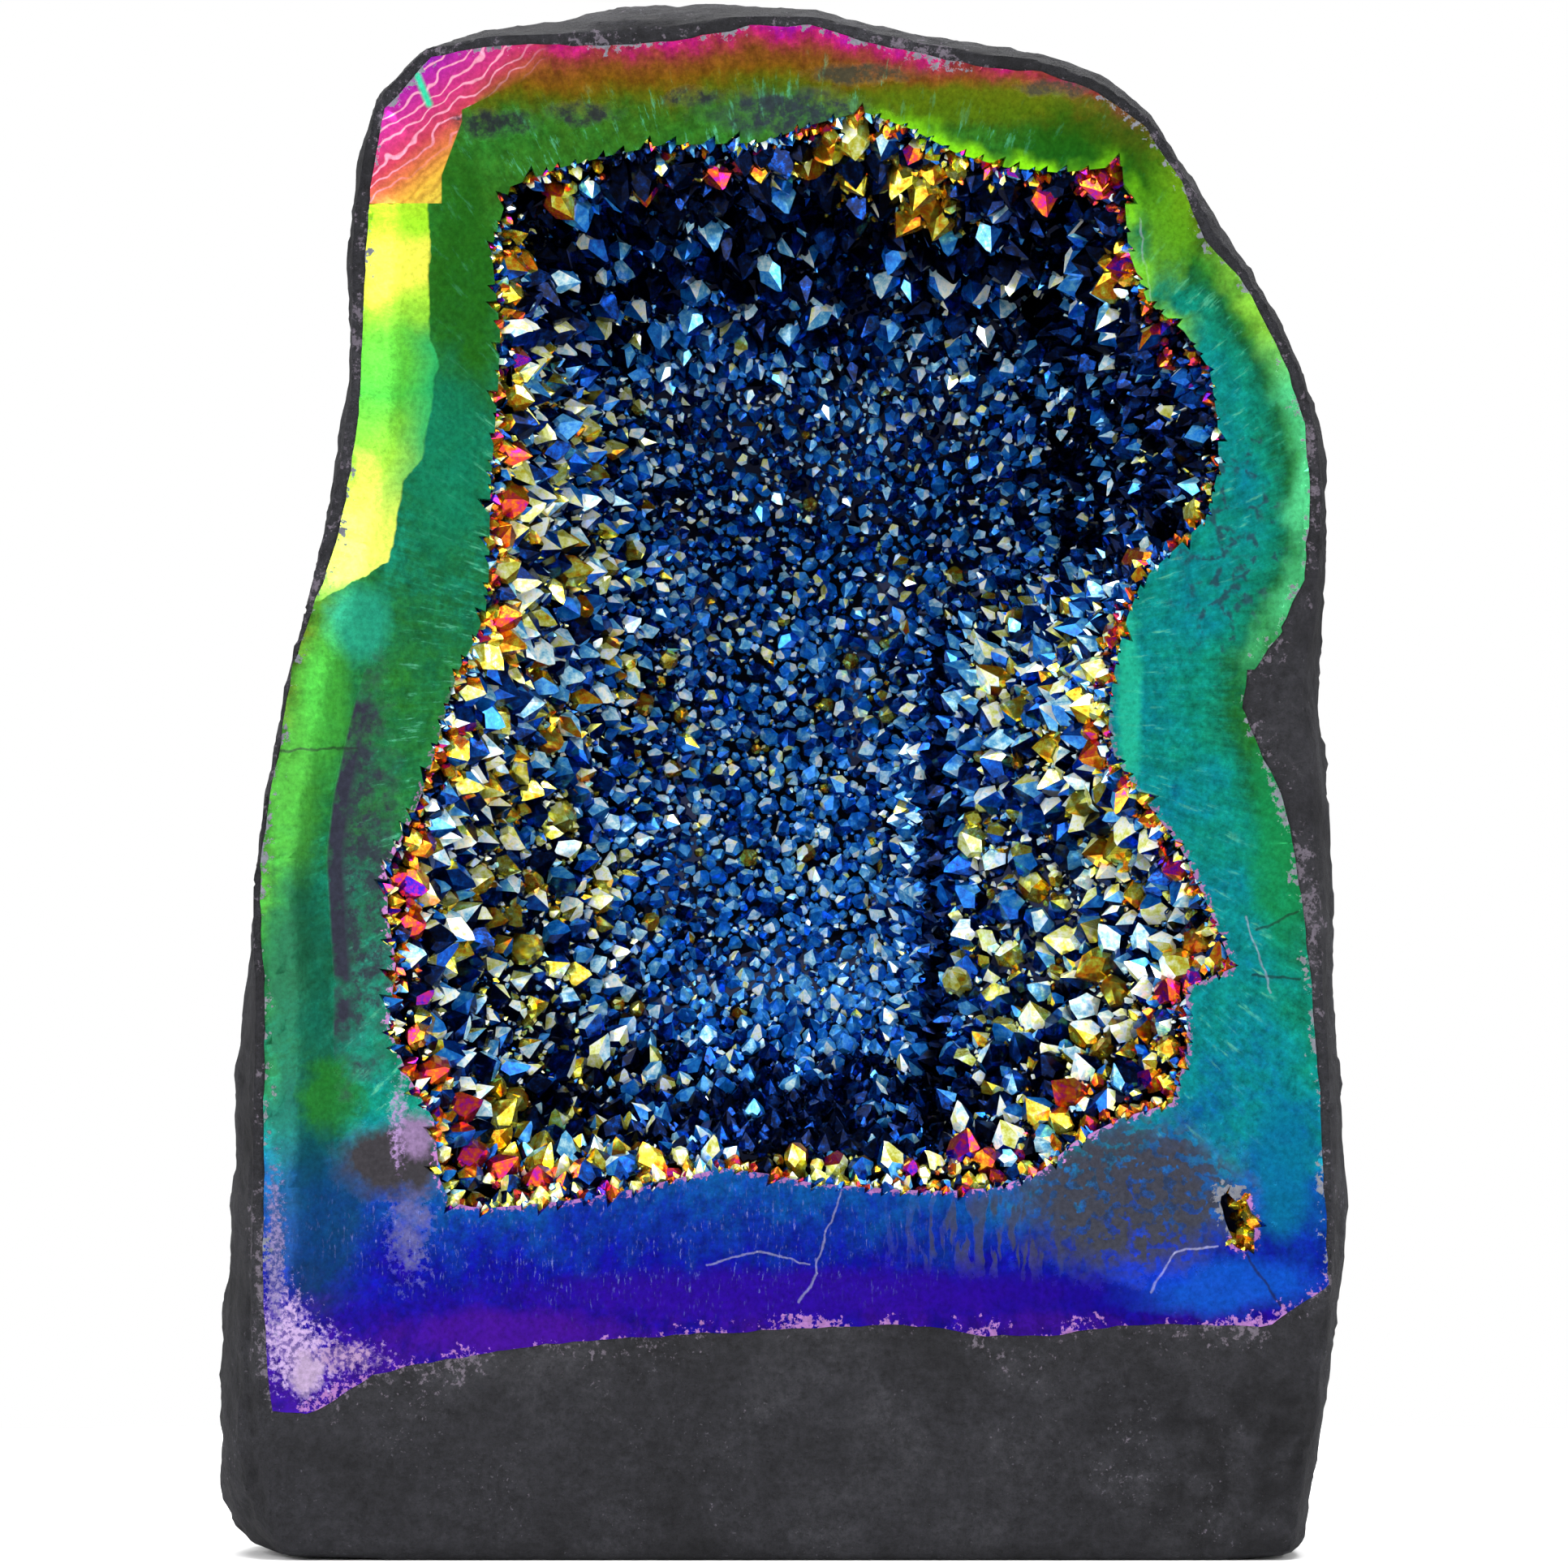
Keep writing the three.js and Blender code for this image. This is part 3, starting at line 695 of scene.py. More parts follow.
# %% Basalt, broken and sawn
def basalt_material():
    material, add = new_material("broken basalt")
    place = add("VectorMath", {0: add("TexCoord").node.outputs["Object"], "Scale": 1 / MM}, operation="SCALE")
    clouds = add("TexNoise", {"Vector": place, "Scale": 1 / 26, "Detail": 4.0, "Roughness": 0.6})
    grain = add("TexNoise", {"Vector": place, "Scale": 1 / 1.1, "Detail": 5.0, "Roughness": 0.8})
    colour = set_stops(add("ValToRGB", {"Fac": clouds}), [(0.3, "#1a1a1d"), (0.5, "#222226"), (0.72, "#303034")])
    grain_tone = add("MapRange", {"Value": grain, "From Min": 0.3, "From Max": 0.7, "To Min": 0.5, "To Max": 1.5})
    colour = add("Mix", {"Factor": 1.0, "A": colour, "B": grain_tone}, data_type="RGBA", blend_type="MULTIPLY")
    coarse = add("TexNoise", {"Vector": place, "Scale": 1 / 3, "Detail": 6.0, "Roughness": 0.75})
    coarse_tone = add("MapRange", {"Value": coarse, "From Min": 0.3, "From Max": 0.7, "To Min": 0.6, "To Max": 1.4})
    colour = add("Mix", {"Factor": 1.0, "A": colour, "B": coarse_tone}, data_type="RGBA", blend_type="MULTIPLY")
    # Painted shade: the deeper a place has sunk, the darker its colour is made, and raised places are lightened.
    low = add("Attribute", attribute_name="sunk").node.outputs["Fac"]
    low_tone = add("MapRange", {"Value": low, "From Min": -0.05, "From Max": 0.5, "To Min": 1.35, "To Max": 0.6})
    colour = add("Mix", {"Factor": 1.0, "A": colour, "B": low_tone}, data_type="RGBA", blend_type="MULTIPLY")
    in_places = add("TexNoise", {"Vector": place, "Scale": 1 / 13, "Detail": 2.0})
    sand = add("TexNoise", {"Vector": place, "Scale": 1 / 0.8, "Detail": 2.0, "Roughness": 0.7})
    speck = add("MapRange", {"Value": in_places, "From Min": 0.3, "From Max": 0.7, "To Min": -0.07, "To Max": 0.07})
    speck = add("Math", {0: sand, 1: speck}, operation="ADD")
    speck = add("MapRange", {"Value": speck, "From Min": 0.68, "From Max": 0.74, "To Max": 0.5})
    colour = add("Mix", {"Factor": speck, "A": colour, "B": "#5c5a62"}, data_type="RGBA")
    rim = add("Attribute", attribute_name="from_rim").node.outputs["Fac"]
    chips = add("TexNoise", {"Vector": place, "Scale": 1 / 1.6, "Detail": 4.0, "Roughness": 0.75})
    near = add("MapRange", {"Value": rim, "From Min": 8.0, "From Max": 0.2, "To Min": 0.0, "To Max": 0.2})
    chip = add("Math", {0: chips, 1: near}, operation="ADD")
    more = add("MapRange", {"Value": in_places, "From Min": 0.3, "From Max": 0.7, "To Min": -0.12, "To Max": 0.1})
    chip = add("Math", {0: chip, 1: more}, operation="ADD")
    chip = add("MapRange", {"Value": chip, "From Min": 0.7, "From Max": 0.78, "To Max": 0.8})
    colour = add("Mix", {"Factor": chip, "A": colour, "B": "#706874"}, data_type="RGBA")
    rough = add("MapRange", {"Value": grain, "To Min": 0.75, "To Max": 0.98})
    relief = add("Bump", {"Height": coarse, "Distance": 2.0 * MM, "Strength": 1.0})
    relief = add("Bump", {"Height": grain, "Distance": 0.5 * MM, "Strength": 1.0, "Normal": relief})
    shader = add("BsdfPrincipled", {"Base Color": colour, "Roughness": rough, "Normal": relief, "Specular IOR Level": 0.18})
    add("OutputMaterial", {"Surface": shader})
    return material


rock = finish_piece(as_mesh(rock_shape, "basalt_skin"), "basalt_rock", basalt_material())

# %% [markdown]
# A film of titanium on quartz has no pigment. Light that bounces off its two faces cancels some colours and
# strengthens others, in a fixed order as the film gets thicker. So one ramp holds that order, and one number, the
# order, says where on it a place is. The number is worked out from the height on the rim, the side, and the distance
# from the outer edge.

# %% The order of the film's colours on the rim
RIM_FILM = [
    (0.0, "#a0149c"),
    (0.05, "#b42068"),
    (0.09, "#903438"),
    (0.15, "#78441c"),
    (0.22, "#745010"),
    (0.29, "#585c0c"),
    (0.37, "#346418"),
    (0.47, "#267024"),
    (0.55, "#18643a"),
    (0.63, "#0e826c"),
    (0.7, "#0a7c84"),
    (0.77, "#0a5494"),
    (0.84, "#082c8c"),
    (0.9, "#080c88"),
    (0.96, "#18047c"),
    (1.0, "#2c0878"),
]
# The order at a height in mm, on the right side and on the left.
ORDER_RIGHT = [
    (0, 1.0), (40, 0.98), (46, 0.93), (51, 0.87), (58, 0.8), (70, 0.74), (85, 0.7), (110, 0.675),
    (150, 0.68), (185, 0.67), (205, 0.65), (222, 0.57), (234, 0.46), (246, 0.39), (256, 0.34),
]
ORDER_LEFT = [
    (0, 1.0), (33, 1.0), (40, 0.97), (46, 0.92), (52, 0.87), (60, 0.82), (66, 0.78), (70, 0.7), (78, 0.62),
    (100, 0.6), (125, 0.54), (150, 0.53), (170, 0.57), (190, 0.57), (203, 0.5), (222, 0.46), (240, 0.42), (252, 0.36),
]
# How far the order runs back at the outer edge, at a height in mm.
EDGE_SHIFT = [(0, 0.0), (60, 0.0), (85, 0.06), (130, 0.17), (200, 0.2), (232, 0.24), (246, 0.29), (256, 0.31)]


def height_share(height):
    """A height in mm as a place on a ramp that runs from the base to the top."""
    return height * MM / TOP


def film_order(add, place, edge):
    """The order of the film's colour at a place, and the tone of the quartz fibres there."""
    wander = add("TexNoise", {"Vector": place, "Scale": 1 / 24, "Detail": 3.0}).node.outputs["Color"]
    wander = add("VectorMath", {0: wander, 1: (9, 0, 9), 2: (-4.5, 0, -4.5)}, operation="MULTIPLY_ADD")
    wandered = add("VectorMath", {0: place, 1: wander}, operation="ADD")
    across, _, height = add("SeparateXYZ", {0: wandered}).node.outputs
    share = add("Math", {0: height, 1: MM / TOP}, operation="MULTIPLY")
    left, right, shift = (
        set_stops(add("ValToRGB", {"Fac": share}), [(height_share(z), value) for z, value in stops])
        for stops in (ORDER_LEFT, ORDER_RIGHT, EDGE_SHIFT)
    )
    to_right = add("MapRange", {"Value": across, "From Min": -40, "From Max": 30}, interpolation_type="SMOOTHSTEP")
    order = add("Mix", {"Factor": to_right, "A": left, "B": right}, data_type="RGBA")
    width = add("MapRange", {"Value": height, "From Min": 225.0, "From Max": 242.0, "To Min": 9.5, "To Max": 15.0})
    near = add("MapRange", {"Value": edge, "From Min": width, "From Max": 0.5})
    near = add("Math", {0: near, 1: 1.5}, operation="POWER")
    shift = add("Math", {0: near, 1: shift}, operation="MULTIPLY")
    order = add("Math", {0: order, 1: shift}, operation="SUBTRACT")
    # Fibres of quartz run outwards from the hollow, and each took the film a little differently.
    from_middle = add("VectorMath", {0: place, 1: tuple(-v / MM for v in MIDDLE)}, operation="ADD")
    off_x, _, off_z = add("SeparateXYZ", {0: from_middle}).node.outputs
    angle = add("Math", {0: off_z, 1: off_x}, operation="ARCTAN2")
    around = add("Math", {0: angle, 1: 75 / 1.3}, operation="MULTIPLY")
    outwards = add("Math", {0: add("VectorMath", {0: from_middle}, operation="LENGTH"), 1: 1 / 8}, operation="MULTIPLY")
    fibre_place = add("CombineXYZ", {0: around, 1: outwards})
    fibres = add("TexNoise", {"Vector": fibre_place, "Scale": 1.0, "Detail": 5.0, "Roughness": 0.7})
    clouds = add("TexNoise", {"Vector": place, "Scale": 1 / 9, "Detail": 6.0, "Roughness": 0.7})
    for pattern, reach in ((fibres, 0.025), (clouds, 0.06)):
        move = add("MapRange", {"Value": pattern, "From Min": 0.25, "From Max": 0.75, "To Min": -reach, "To Max": reach})
        order = add("Math", {0: order, 1: move}, operation="ADD")
    return order, fibres


# %% Ragged patches and cracks, in mm
def patch(add, place, middle, half_size, raggedness, grain):
    """1 inside a patch with a ragged outline, and 0 outside."""
    offset = add("VectorMath", {0: place, 1: (-middle[0], 0, -middle[1])}, operation="ADD")
    shares = add("VectorMath", {0: offset, 1: (1 / half_size[0], 0, 1 / half_size[1])}, operation="MULTIPLY")
    distance = add("VectorMath", {0: shares}, operation="LENGTH")
    ragged = add("TexNoise", {"Vector": place, "Scale": 1 / grain, "Detail": 4.0, "Roughness": 0.65})
    moved = add("Math", {0: ragged, 1: 2 * raggedness, 2: distance}, operation="MULTIPLY_ADD")
    return add("MapRange", {"Value": moved, "From Min": 1.3 + raggedness, "From Max": 0.7 + raggedness})


def crack(add, place, start, end, width):
    """1 along a straight piece of a crack, and 0 beside it."""
    run = Vector((end[0] - start[0], 0, end[1] - start[1]))
    offset = add("VectorMath", {0: place, 1: (-start[0], 0, -start[1])}, operation="ADD")
    flat = add("VectorMath", {0: offset, 1: (1, 0, 1)}, operation="MULTIPLY")
    along = add("VectorMath", {0: flat, 1: tuple(run / run.length_squared)}, operation="DOT_PRODUCT")
    along = add("Math", {0: along, 1: 0}, operation="ADD", use_clamp=True)
    nearest = add("VectorMath", {0: tuple(run), "Scale": along}, operation="SCALE")
    gap = add("VectorMath", {0: flat, 1: nearest}, operation="DISTANCE")
    return add("MapRange", {"Value": gap, "From Min": width, "From Max": 0.3 * width})


# %% [markdown]
# The film isn't even. Fingers, dust and fumes left duller spots on it, some places stayed bare, and others are
# yellower or bluer than their height gives. Each is a ragged patch, with its middle and half size in mm.

# %% Patches on the rim
# Middle, half size, raggedness, grain, colour.
TINTS = [
    ((58.4, 144), (2, 14), 0.7, 3, "#24ac88"),
    ((-53, 214), (5.5, 20), 0.5, 6, "#1a5410"),
    ((-56, 184), (6, 17), 0.5, 7, "#0c6c4c"),
    ((-71, 157), (5, 6), 0.5, 8, "#1f8a70"),
    ((-76.5, 143), (4, 12), 0.3, 7, "#34882c"),
    ((-81.5, 128), (4, 15), 0.3, 7, "#307424"),
    ((-83, 102), (3.5, 12), 0.5, 6, "#14502c"),
    ((-80, 92), (7, 24), 0.5, 6, "#0a3c2a"),
    ((-80, 72), (6, 9), 0.5, 6, "#064038"),
    ((-75, 77), (5, 6.5), 0.8, 4, "#1c6418"),
    ((32, 244), (20, 3.5), 0.7, 6, "#4c6c0c"),
    ((65, 226), (4, 12), 0.6, 4, "#5c9c18"),
    ((52, 235), (13, 9), 0.5, 6, "#14500c"),
    ((84, 122), (5, 17), 0.6, 7, "#148248"),
    ((73, 46), (16, 4.5), 0.5, 5, "#0a4cb0"),
    ((48, 44.5), (15, 3), 0.5, 5, "#0a0478"),
    ((62, 50.5), (8, 4.5), 0.3, 4, "#0a28b4"),
    ((84, 66), (4.5, 11), 0.4, 6, "#046484"),
    ((-78, 57), (9, 13), 0.5, 6, "#043048"),
    ((2, 44.5), (44, 4), 0.5, 6, "#240480"),
    ((-45, 38), (16, 4), 0.5, 6, "#380a7c"),
]
DULL = [
    ((-48, 240.6), (7, 2.4), 0.9, 2.5, "#14181e"),
    ((-33.6, 242.4), (6, 2.0), 0.9, 2.5, "#181a20"),
    ((-15, 245), (4.4, 1.6), 0.9, 2.5, "#181a20"),
    ((1, 242.4), (13, 3.8), 0.7, 3.5, "#1c222c"),
    ((13, 249), (9, 1.6), 0.9, 2.5, "#2c2c20"),
    ((46, 246.5), (6, 1.4), 0.9, 2.5, "#302e24"),
    ((-62, 57), (3, 8), 2.0, 1.2, "#484874"),
    ((57, 61), (18, 12), 0.7, 3, "#182438"),
]
BARE = [
    ((-65, 67), (9, 6), 0.5, 5, "#2a282c"),
    ((-64, 73), (1.4, 6), 1.8, 0.8, "#806890"),
    ((-61, 71), (2.6, 3.6), 0.7, 2, "#6c5878"),
    ((-83, 38), (3.5, 6), 2.0, 1.1, "#907ca0"),
    ((-80, 34), (5, 5), 2.0, 1.1, "#907ca0"),
    ((-73, 34), (5.5, 2.2), 2.0, 1.1, "#806888"),
    ((-79.5, 31), (2.6, 3.2), 1.0, 1.5, "#8a7894"),
    ((-84.8, 50), (1.3, 12), 2.4, 0.8, "#645c80"),
]
# The slate-grey patch on the left ends in a sharp line on its left side.
SLATE_EDGE = [(98, 0.752), (108, 0.758), (118, 0.764), (128, 0.752), (139, 0.728), (146, 0.71), (152, 0.69)]


def past_line(add, place, stops):
    """How far right of a line a place is, in mm. Stops hold heights, and how far left of the middle in 100 mm."""
    x, _, z = add("SeparateXYZ", {0: place}).node.outputs
    share = add("Math", {0: z, 1: MM / TOP}, operation="MULTIPLY")
    line = set_stops(add("ValToRGB", {"Fac": share}), [(height_share(at), value) for at, value in stops])
    return add("Math", {0: line, 1: 100.0, 2: x}, operation="MULTIPLY_ADD")


# %% [markdown]
# At the upper left the film is thickest and has passed yellow once more. There the rim shows a violet and pink corner
# with fine wavy growth lines, as in agate, and under it a strip of yellow and lime that ends in a sharp line. The strip
# is partly film colour and partly a painted reflection of a softbox, whose edge makes that sharp line.


# %% The corner and the bright strip
CORNER_ACROSS = (0.63, 0, -0.777)  # square to the growth lines
CORNER_START = (-65.5, 0, 243.7)
CORNER_FILM = [
    (-4, "#5c18a8"),
    (0, "#a42494"),
    (4, "#bc3078"),
    (8, "#b83c50"),
    (11, "#cc7040"),
    (14, "#dcac3c"),
    (19, "#ccc444"),
]
LINE_PITCH = 2.0
STRIP_FILM_AND_REFLECTION = [
    (160, "#3c9c34"),
    (164, "#b0dc60"),
    (170, "#dcec60"),
    (182, "#9ccc3c"),
    (189, "#6cb434"),
    (196, "#44a838"),
    (205, "#58b034"),
    (211, "#a0d438"),
    (214, "#dce04c"),
    (222, "#dce04c"),
    (225, "#98dc28"),
    (232, "#a0c028"),
]
# How far left of the middle the strip ends, at a height in mm.
STRIP_END = [
    (159, 0.8), (161.5, 0.764), (167.5, 0.655), (180, 0.635), (185, 0.6), (201.5, 0.574), (205, 0.59), (238, 0.59),
]


def with_corner(add, place, colour):
    x, _, z = add("SeparateXYZ", {0: place}).node.outputs
    offset = add("VectorMath", {0: place, 1: CORNER_START}, operation="SUBTRACT")
    depth = add("VectorMath", {0: offset, 1: CORNER_ACROSS}, operation="DOT_PRODUCT")
    waves = add("TexNoise", {"Vector": place, "Scale": 1 / 7, "Detail": 2.0})
    waved = add("Math", {0: waves, 1: 7.0, 2: depth}, operation="MULTIPLY_ADD")
    low, high = CORNER_FILM[0][0], CORNER_FILM[-1][0]
    share = add("MapRange", {"Value": depth, "From Min": low, "From Max": high})
    film = set_stops(add("ValToRGB", {"Fac": share}), [((at - low) / (high - low), tone) for at, tone in CORNER_FILM])
    wave = add("Math", {0: add("Math", {0: waved, 1: math.tau / LINE_PITCH}, operation="MULTIPLY")}, operation="SINE")
    line = add("MapRange", {"Value": wave, "From Min": 0.7, "From Max": 0.98, "To Max": 0.85})
    upper = add("MapRange", {"Value": depth, "From Min": 12.0, "From Max": 8.0})
    film = add(
        "Mix", {"Factor": add("Math", {0: line, 1: upper}, operation="MULTIPLY"), "A": film, "B": "#f4a4bc"}, data_type="RGBA"
    )
    fine = add("Math", {0: add("Math", {0: waved, 1: math.tau / 1.5}, operation="MULTIPLY")}, operation="SINE")
    fine = add("MapRange", {"Value": fine, "From Min": -0.2, "From Max": 0.9, "To Max": 0.35})
    lower = add("Math", {0: fine, 1: add("Math", {0: 1.0, 1: upper}, operation="SUBTRACT")}, operation="MULTIPLY")
    film = add("Mix", {"Factor": lower, "A": film, "B": "#8c5020"}, data_type="RGBA")
    slanted = add("MapRange", {"Value": z, "From Min": 232.0, "From Max": 241.0, "To Min": -56.8, "To Max": -53.4})
    reach = add("MapRange", {"Value": z, "From Min": 243.0, "From Max": 250.0, "To Min": 0.0, "To Max": 15.0})
    reach = add("Math", {0: slanted, 1: reach}, operation="ADD")
    inside = add("Math", {0: x, 1: reach}, operation="SUBTRACT")
    softness = add("MapRange", {"Value": z, "From Min": 244.0, "From Max": 248.0, "To Min": -0.2, "To Max": -9.0})
    inside = add("MapRange", {"Value": inside, "From Min": 0.0, "From Max": softness})
    above = add("Math", {0: z, 1: 227.3}, operation="GREATER_THAN")
    colour = add(
        "Mix", {"Factor": add("Math", {0: inside, 1: above}, operation="MULTIPLY"), "A": colour, "B": film}, data_type="RGBA"
    )
    streak = crack(add, place, (-61.7, 250.5), (-59, 244), 0.9)
    return add("Mix", {"Factor": streak, "A": colour, "B": "#38c89c"}, data_type="RGBA")


# The bright strip: partly film colour, partly a painted reflection of a softbox that ends in a sharp line.
def with_strip(add, place, colour):
    x, _, z = add("SeparateXYZ", {0: place}).node.outputs
    share = add("Math", {0: z, 1: MM / TOP}, operation="MULTIPLY")
    beyond = past_line(add, place, STRIP_END)
    warp = add("TexNoise", {"Vector": place, "Scale": 1 / 12, "Detail": 3.0})
    warped = add("Math", {0: warp, 1: 0.04, 2: share}, operation="MULTIPLY_ADD")
    warped = add("Math", {0: warped, 1: 0.02}, operation="SUBTRACT")
    film = set_stops(add("ValToRGB", {"Fac": warped}), [(height_share(at), tone) for at, tone in STRIP_FILM_AND_REFLECTION])
    inner = add("MapRange", {"Value": beyond, "From Min": -5.0, "From Max": -0.5, "To Max": 0.8})
    low = add("MapRange", {"Value": z, "From Min": 208.0, "From Max": 203.0})
    high = add("MapRange", {"Value": z, "From Min": 174.0, "From Max": 186.0})
    both = add("Math", {0: low, 1: high}, operation="MULTIPLY")
    film = add("Mix", {"Factor": add("Math", {0: inner, 1: both}, operation="MULTIPLY"), "A": film, "B": "#18985c"}, data_type="RGBA")
    inside = add("MapRange", {"Value": beyond, "From Min": 0.2, "From Max": -0.2})
    above = add("MapRange", {"Value": z, "From Min": 158.0, "From Max": 164.0})
    below = add("Math", {0: z, 1: 227.3}, operation="LESS_THAN")
    inside = add("Math", {0: inside, 1: add("Math", {0: above, 1: below}, operation="MULTIPLY")}, operation="MULTIPLY")
    return add("Mix", {"Factor": inside, "A": colour, "B": film}, data_type="RGBA")


# %% [markdown]
# Last come the marks of age: cracks, a network of dried stain at the lower right with drips beside it, and an outer
# edge that is chipped back to white quartz. Between them lie painted highlights: lime and lilac along the opening, and
# green along the outer edge at the upper right.

# %% The rim's finish
CRACKS = [
    ((-84, 135.6), (-71, 136)),
    ((80, 105.6), (86.5, 108.6)),
    ((79, 98), (87, 97.4)),
    ((78, 51), (88, 37)),
]
PALE_LINES = [
    ((10, 61.5), (7.5, 55)),
    ((7.5, 55), (6, 48)),
    ((6, 48), (3, 43)),
    ((-12.5, 49.5), (-4, 51.6)),
    ((-4, 51.6), (5, 49.6)),
    ((62, 45), (66, 51.5)),
    ((66, 51.5), (73, 52.5)),
    ((78, 108), (82, 95)),
    ((60, 225), (62.5, 206)),
    ((62.5, 206), (68, 196)),
]


def rim_material():
    material, add = new_material("polished quartz under a titanium film")
    place = add("VectorMath", {0: add("TexCoord").node.outputs["Object"], "Scale": 1 / MM}, operation="SCALE")
    wobble = add("TexNoise", {"Vector": place, "Scale": 1 / 3, "Detail": 3.0}).node.outputs["Color"]
    wobble = add("VectorMath", {0: wobble, 1: (1.6, 0, 1.6), 2: (-0.8, 0, -0.8)}, operation="MULTIPLY_ADD")
    wobbly = add("VectorMath", {0: place, 1: wobble}, operation="ADD")
    edge = add("Attribute", attribute_name="from_edge").node.outputs["Fac"]
    opening = add("Attribute", attribute_name="from_opening").node.outputs["Fac"]
    order, fibres = film_order(add, place, edge)
    colour = set_stops(add("ValToRGB", {"Fac": order}), RIM_FILM)
    mottle = add("TexNoise", {"Vector": place, "Scale": 1 / 2.8, "Detail": 5.0, "Roughness": 0.7})
    for pattern, low, high in ((fibres, 0.78, 1.2), (mottle, 0.56, 1.28)):
        tone = add("MapRange", {"Value": pattern, "From Min": 0.3, "From Max": 0.7, "To Min": low, "To Max": high})
        colour = add("Mix", {"Factor": 1.0, "A": colour, "B": tone}, data_type="RGBA", blend_type="MULTIPLY")
    wisp = add("MapRange", {"Value": fibres, "From Min": 0.58, "From Max": 0.66, "To Max": 0.6})
    _, _, z = add("SeparateXYZ", {0: place}).node.outputs
    above = add("MapRange", {"Value": z, "From Min": 64.0, "From Max": 76.0})
    wisp = add("Math", {0: wisp, 1: above}, operation="MULTIPLY")
    close_by = add("MapRange", {"Value": opening, "From Min": 13.0, "From Max": 6.0})
    colour = add(
        "Mix", {"Factor": add("Math", {0: wisp, 1: close_by}, operation="MULTIPLY"), "A": colour, "B": "#58b088"}, data_type="RGBA"
    )
    for middle, half, raggedness, grain, tint in TINTS:
        soft = add("Math", {0: patch(add, place, middle, half, raggedness, grain), 1: 0.75}, operation="MULTIPLY")
        colour = add("Mix", {"Factor": soft, "A": colour, "B": tint}, data_type="RGBA")
    colour = with_strip(add, wobbly, colour)
    colour = with_corner(add, place, colour)
    dull = 0.0
    # Fumes settled in blotches 3 mm wide.
    blotches = add("TexNoise", {"Vector": place, "Scale": 1 / 3, "Detail": 6.0, "Roughness": 0.75})
    blotch = add("MapRange", {"Value": blotches, "From Min": 0.38, "From Max": 0.56, "To Min": 0.3, "To Max": 0.95})
    for middle, half, raggedness, grain, tint in DULL:
        mask = patch(add, place, middle, half, raggedness, grain)
        thin = add("Math", {0: mask, 1: blotch}, operation="MULTIPLY")
        colour = add("Mix", {"Factor": thin, "A": colour, "B": tint}, data_type="RGBA")
        dull = add("Math", {0: dull, 1: mask}, operation="MAXIMUM")
    sharp = add("MapRange", {"Value": past_line(add, place, SLATE_EDGE), "From Min": 0.0, "From Max": 0.5})
    slate = add("Math", {0: patch(add, place, (-71, 116), (6.5, 31), 1.1, 5), 1: sharp}, operation="MULTIPLY")
    beside_line = add("MapRange", {"Value": past_line(add, place, SLATE_EDGE), "From Min": 6.0, "From Max": 2.5})
    solid = add("Math", {0: blotch, 1: beside_line}, operation="MAXIMUM")
    slate = add("Math", {0: slate, 1: solid}, operation="MULTIPLY")
    colour = add("Mix", {"Factor": slate, "A": colour, "B": "#20222e"}, data_type="RGBA")
    dull = add("Math", {0: dull, 1: slate}, operation="MAXIMUM")
    upright = add("VectorMath", {0: place, 1: (1 / 0.5, 0, 1 / 2.2)}, operation="MULTIPLY")
    upright = add("TexNoise", {"Vector": upright, "Scale": 1.0, "Detail": 4.0, "Roughness": 0.7})
    fleck = add("MapRange", {"Value": upright, "From Min": 0.56, "From Max": 0.68, "To Max": 0.8})
    in_clusters = add("MapRange", {"Value": blotches, "From Min": 0.45, "From Max": 0.56})
    fleck = add("Math", {0: fleck, 1: in_clusters}, operation="MULTIPLY")
    fleck = add("Math", {0: fleck, 1: patch(add, place, (-26, 54), (50, 11), 0.9, 5)}, operation="MULTIPLY")
    colour = add("Mix", {"Factor": fleck, "A": colour, "B": "#6c74b8"}, data_type="RGBA")
    # The dried stain is a network of blots 2 mm wide, and its drips are 1.5 mm wide and run down.
    blots = add("TexNoise", {"Vector": place, "Scale": 1 / 2, "Detail": 2.0})
    blot = add("MapRange", {"Value": blots, "From Min": 0.44, "From Max": 0.49})
    blot = add("Math", {0: blot, 1: patch(add, place, (59, 61), (17, 12), 0.5, 5)}, operation="MULTIPLY")
    streaks = add("VectorMath", {0: wobbly, 1: (1 / 1.9, 0, 1 / 9)}, operation="MULTIPLY")
    drips = add("TexNoise", {"Vector": streaks, "Scale": 1.0, "Detail": 2.0})
    drip = add("MapRange", {"Value": drips, "From Min": 0.5, "From Max": 0.56, "To Max": 0.8})
    drip = add("Math", {0: drip, 1: patch(add, place, (39, 55), (20, 6.5), 0.5, 3)}, operation="MULTIPLY")
    stain = add("Math", {0: blot, 1: drip}, operation="MAXIMUM")
    colour = add("Mix", {"Factor": stain, "A": colour, "B": "#2a2c36"}, data_type="RGBA")
    dull = add("Math", {0: dull, 1: stain}, operation="MAXIMUM")
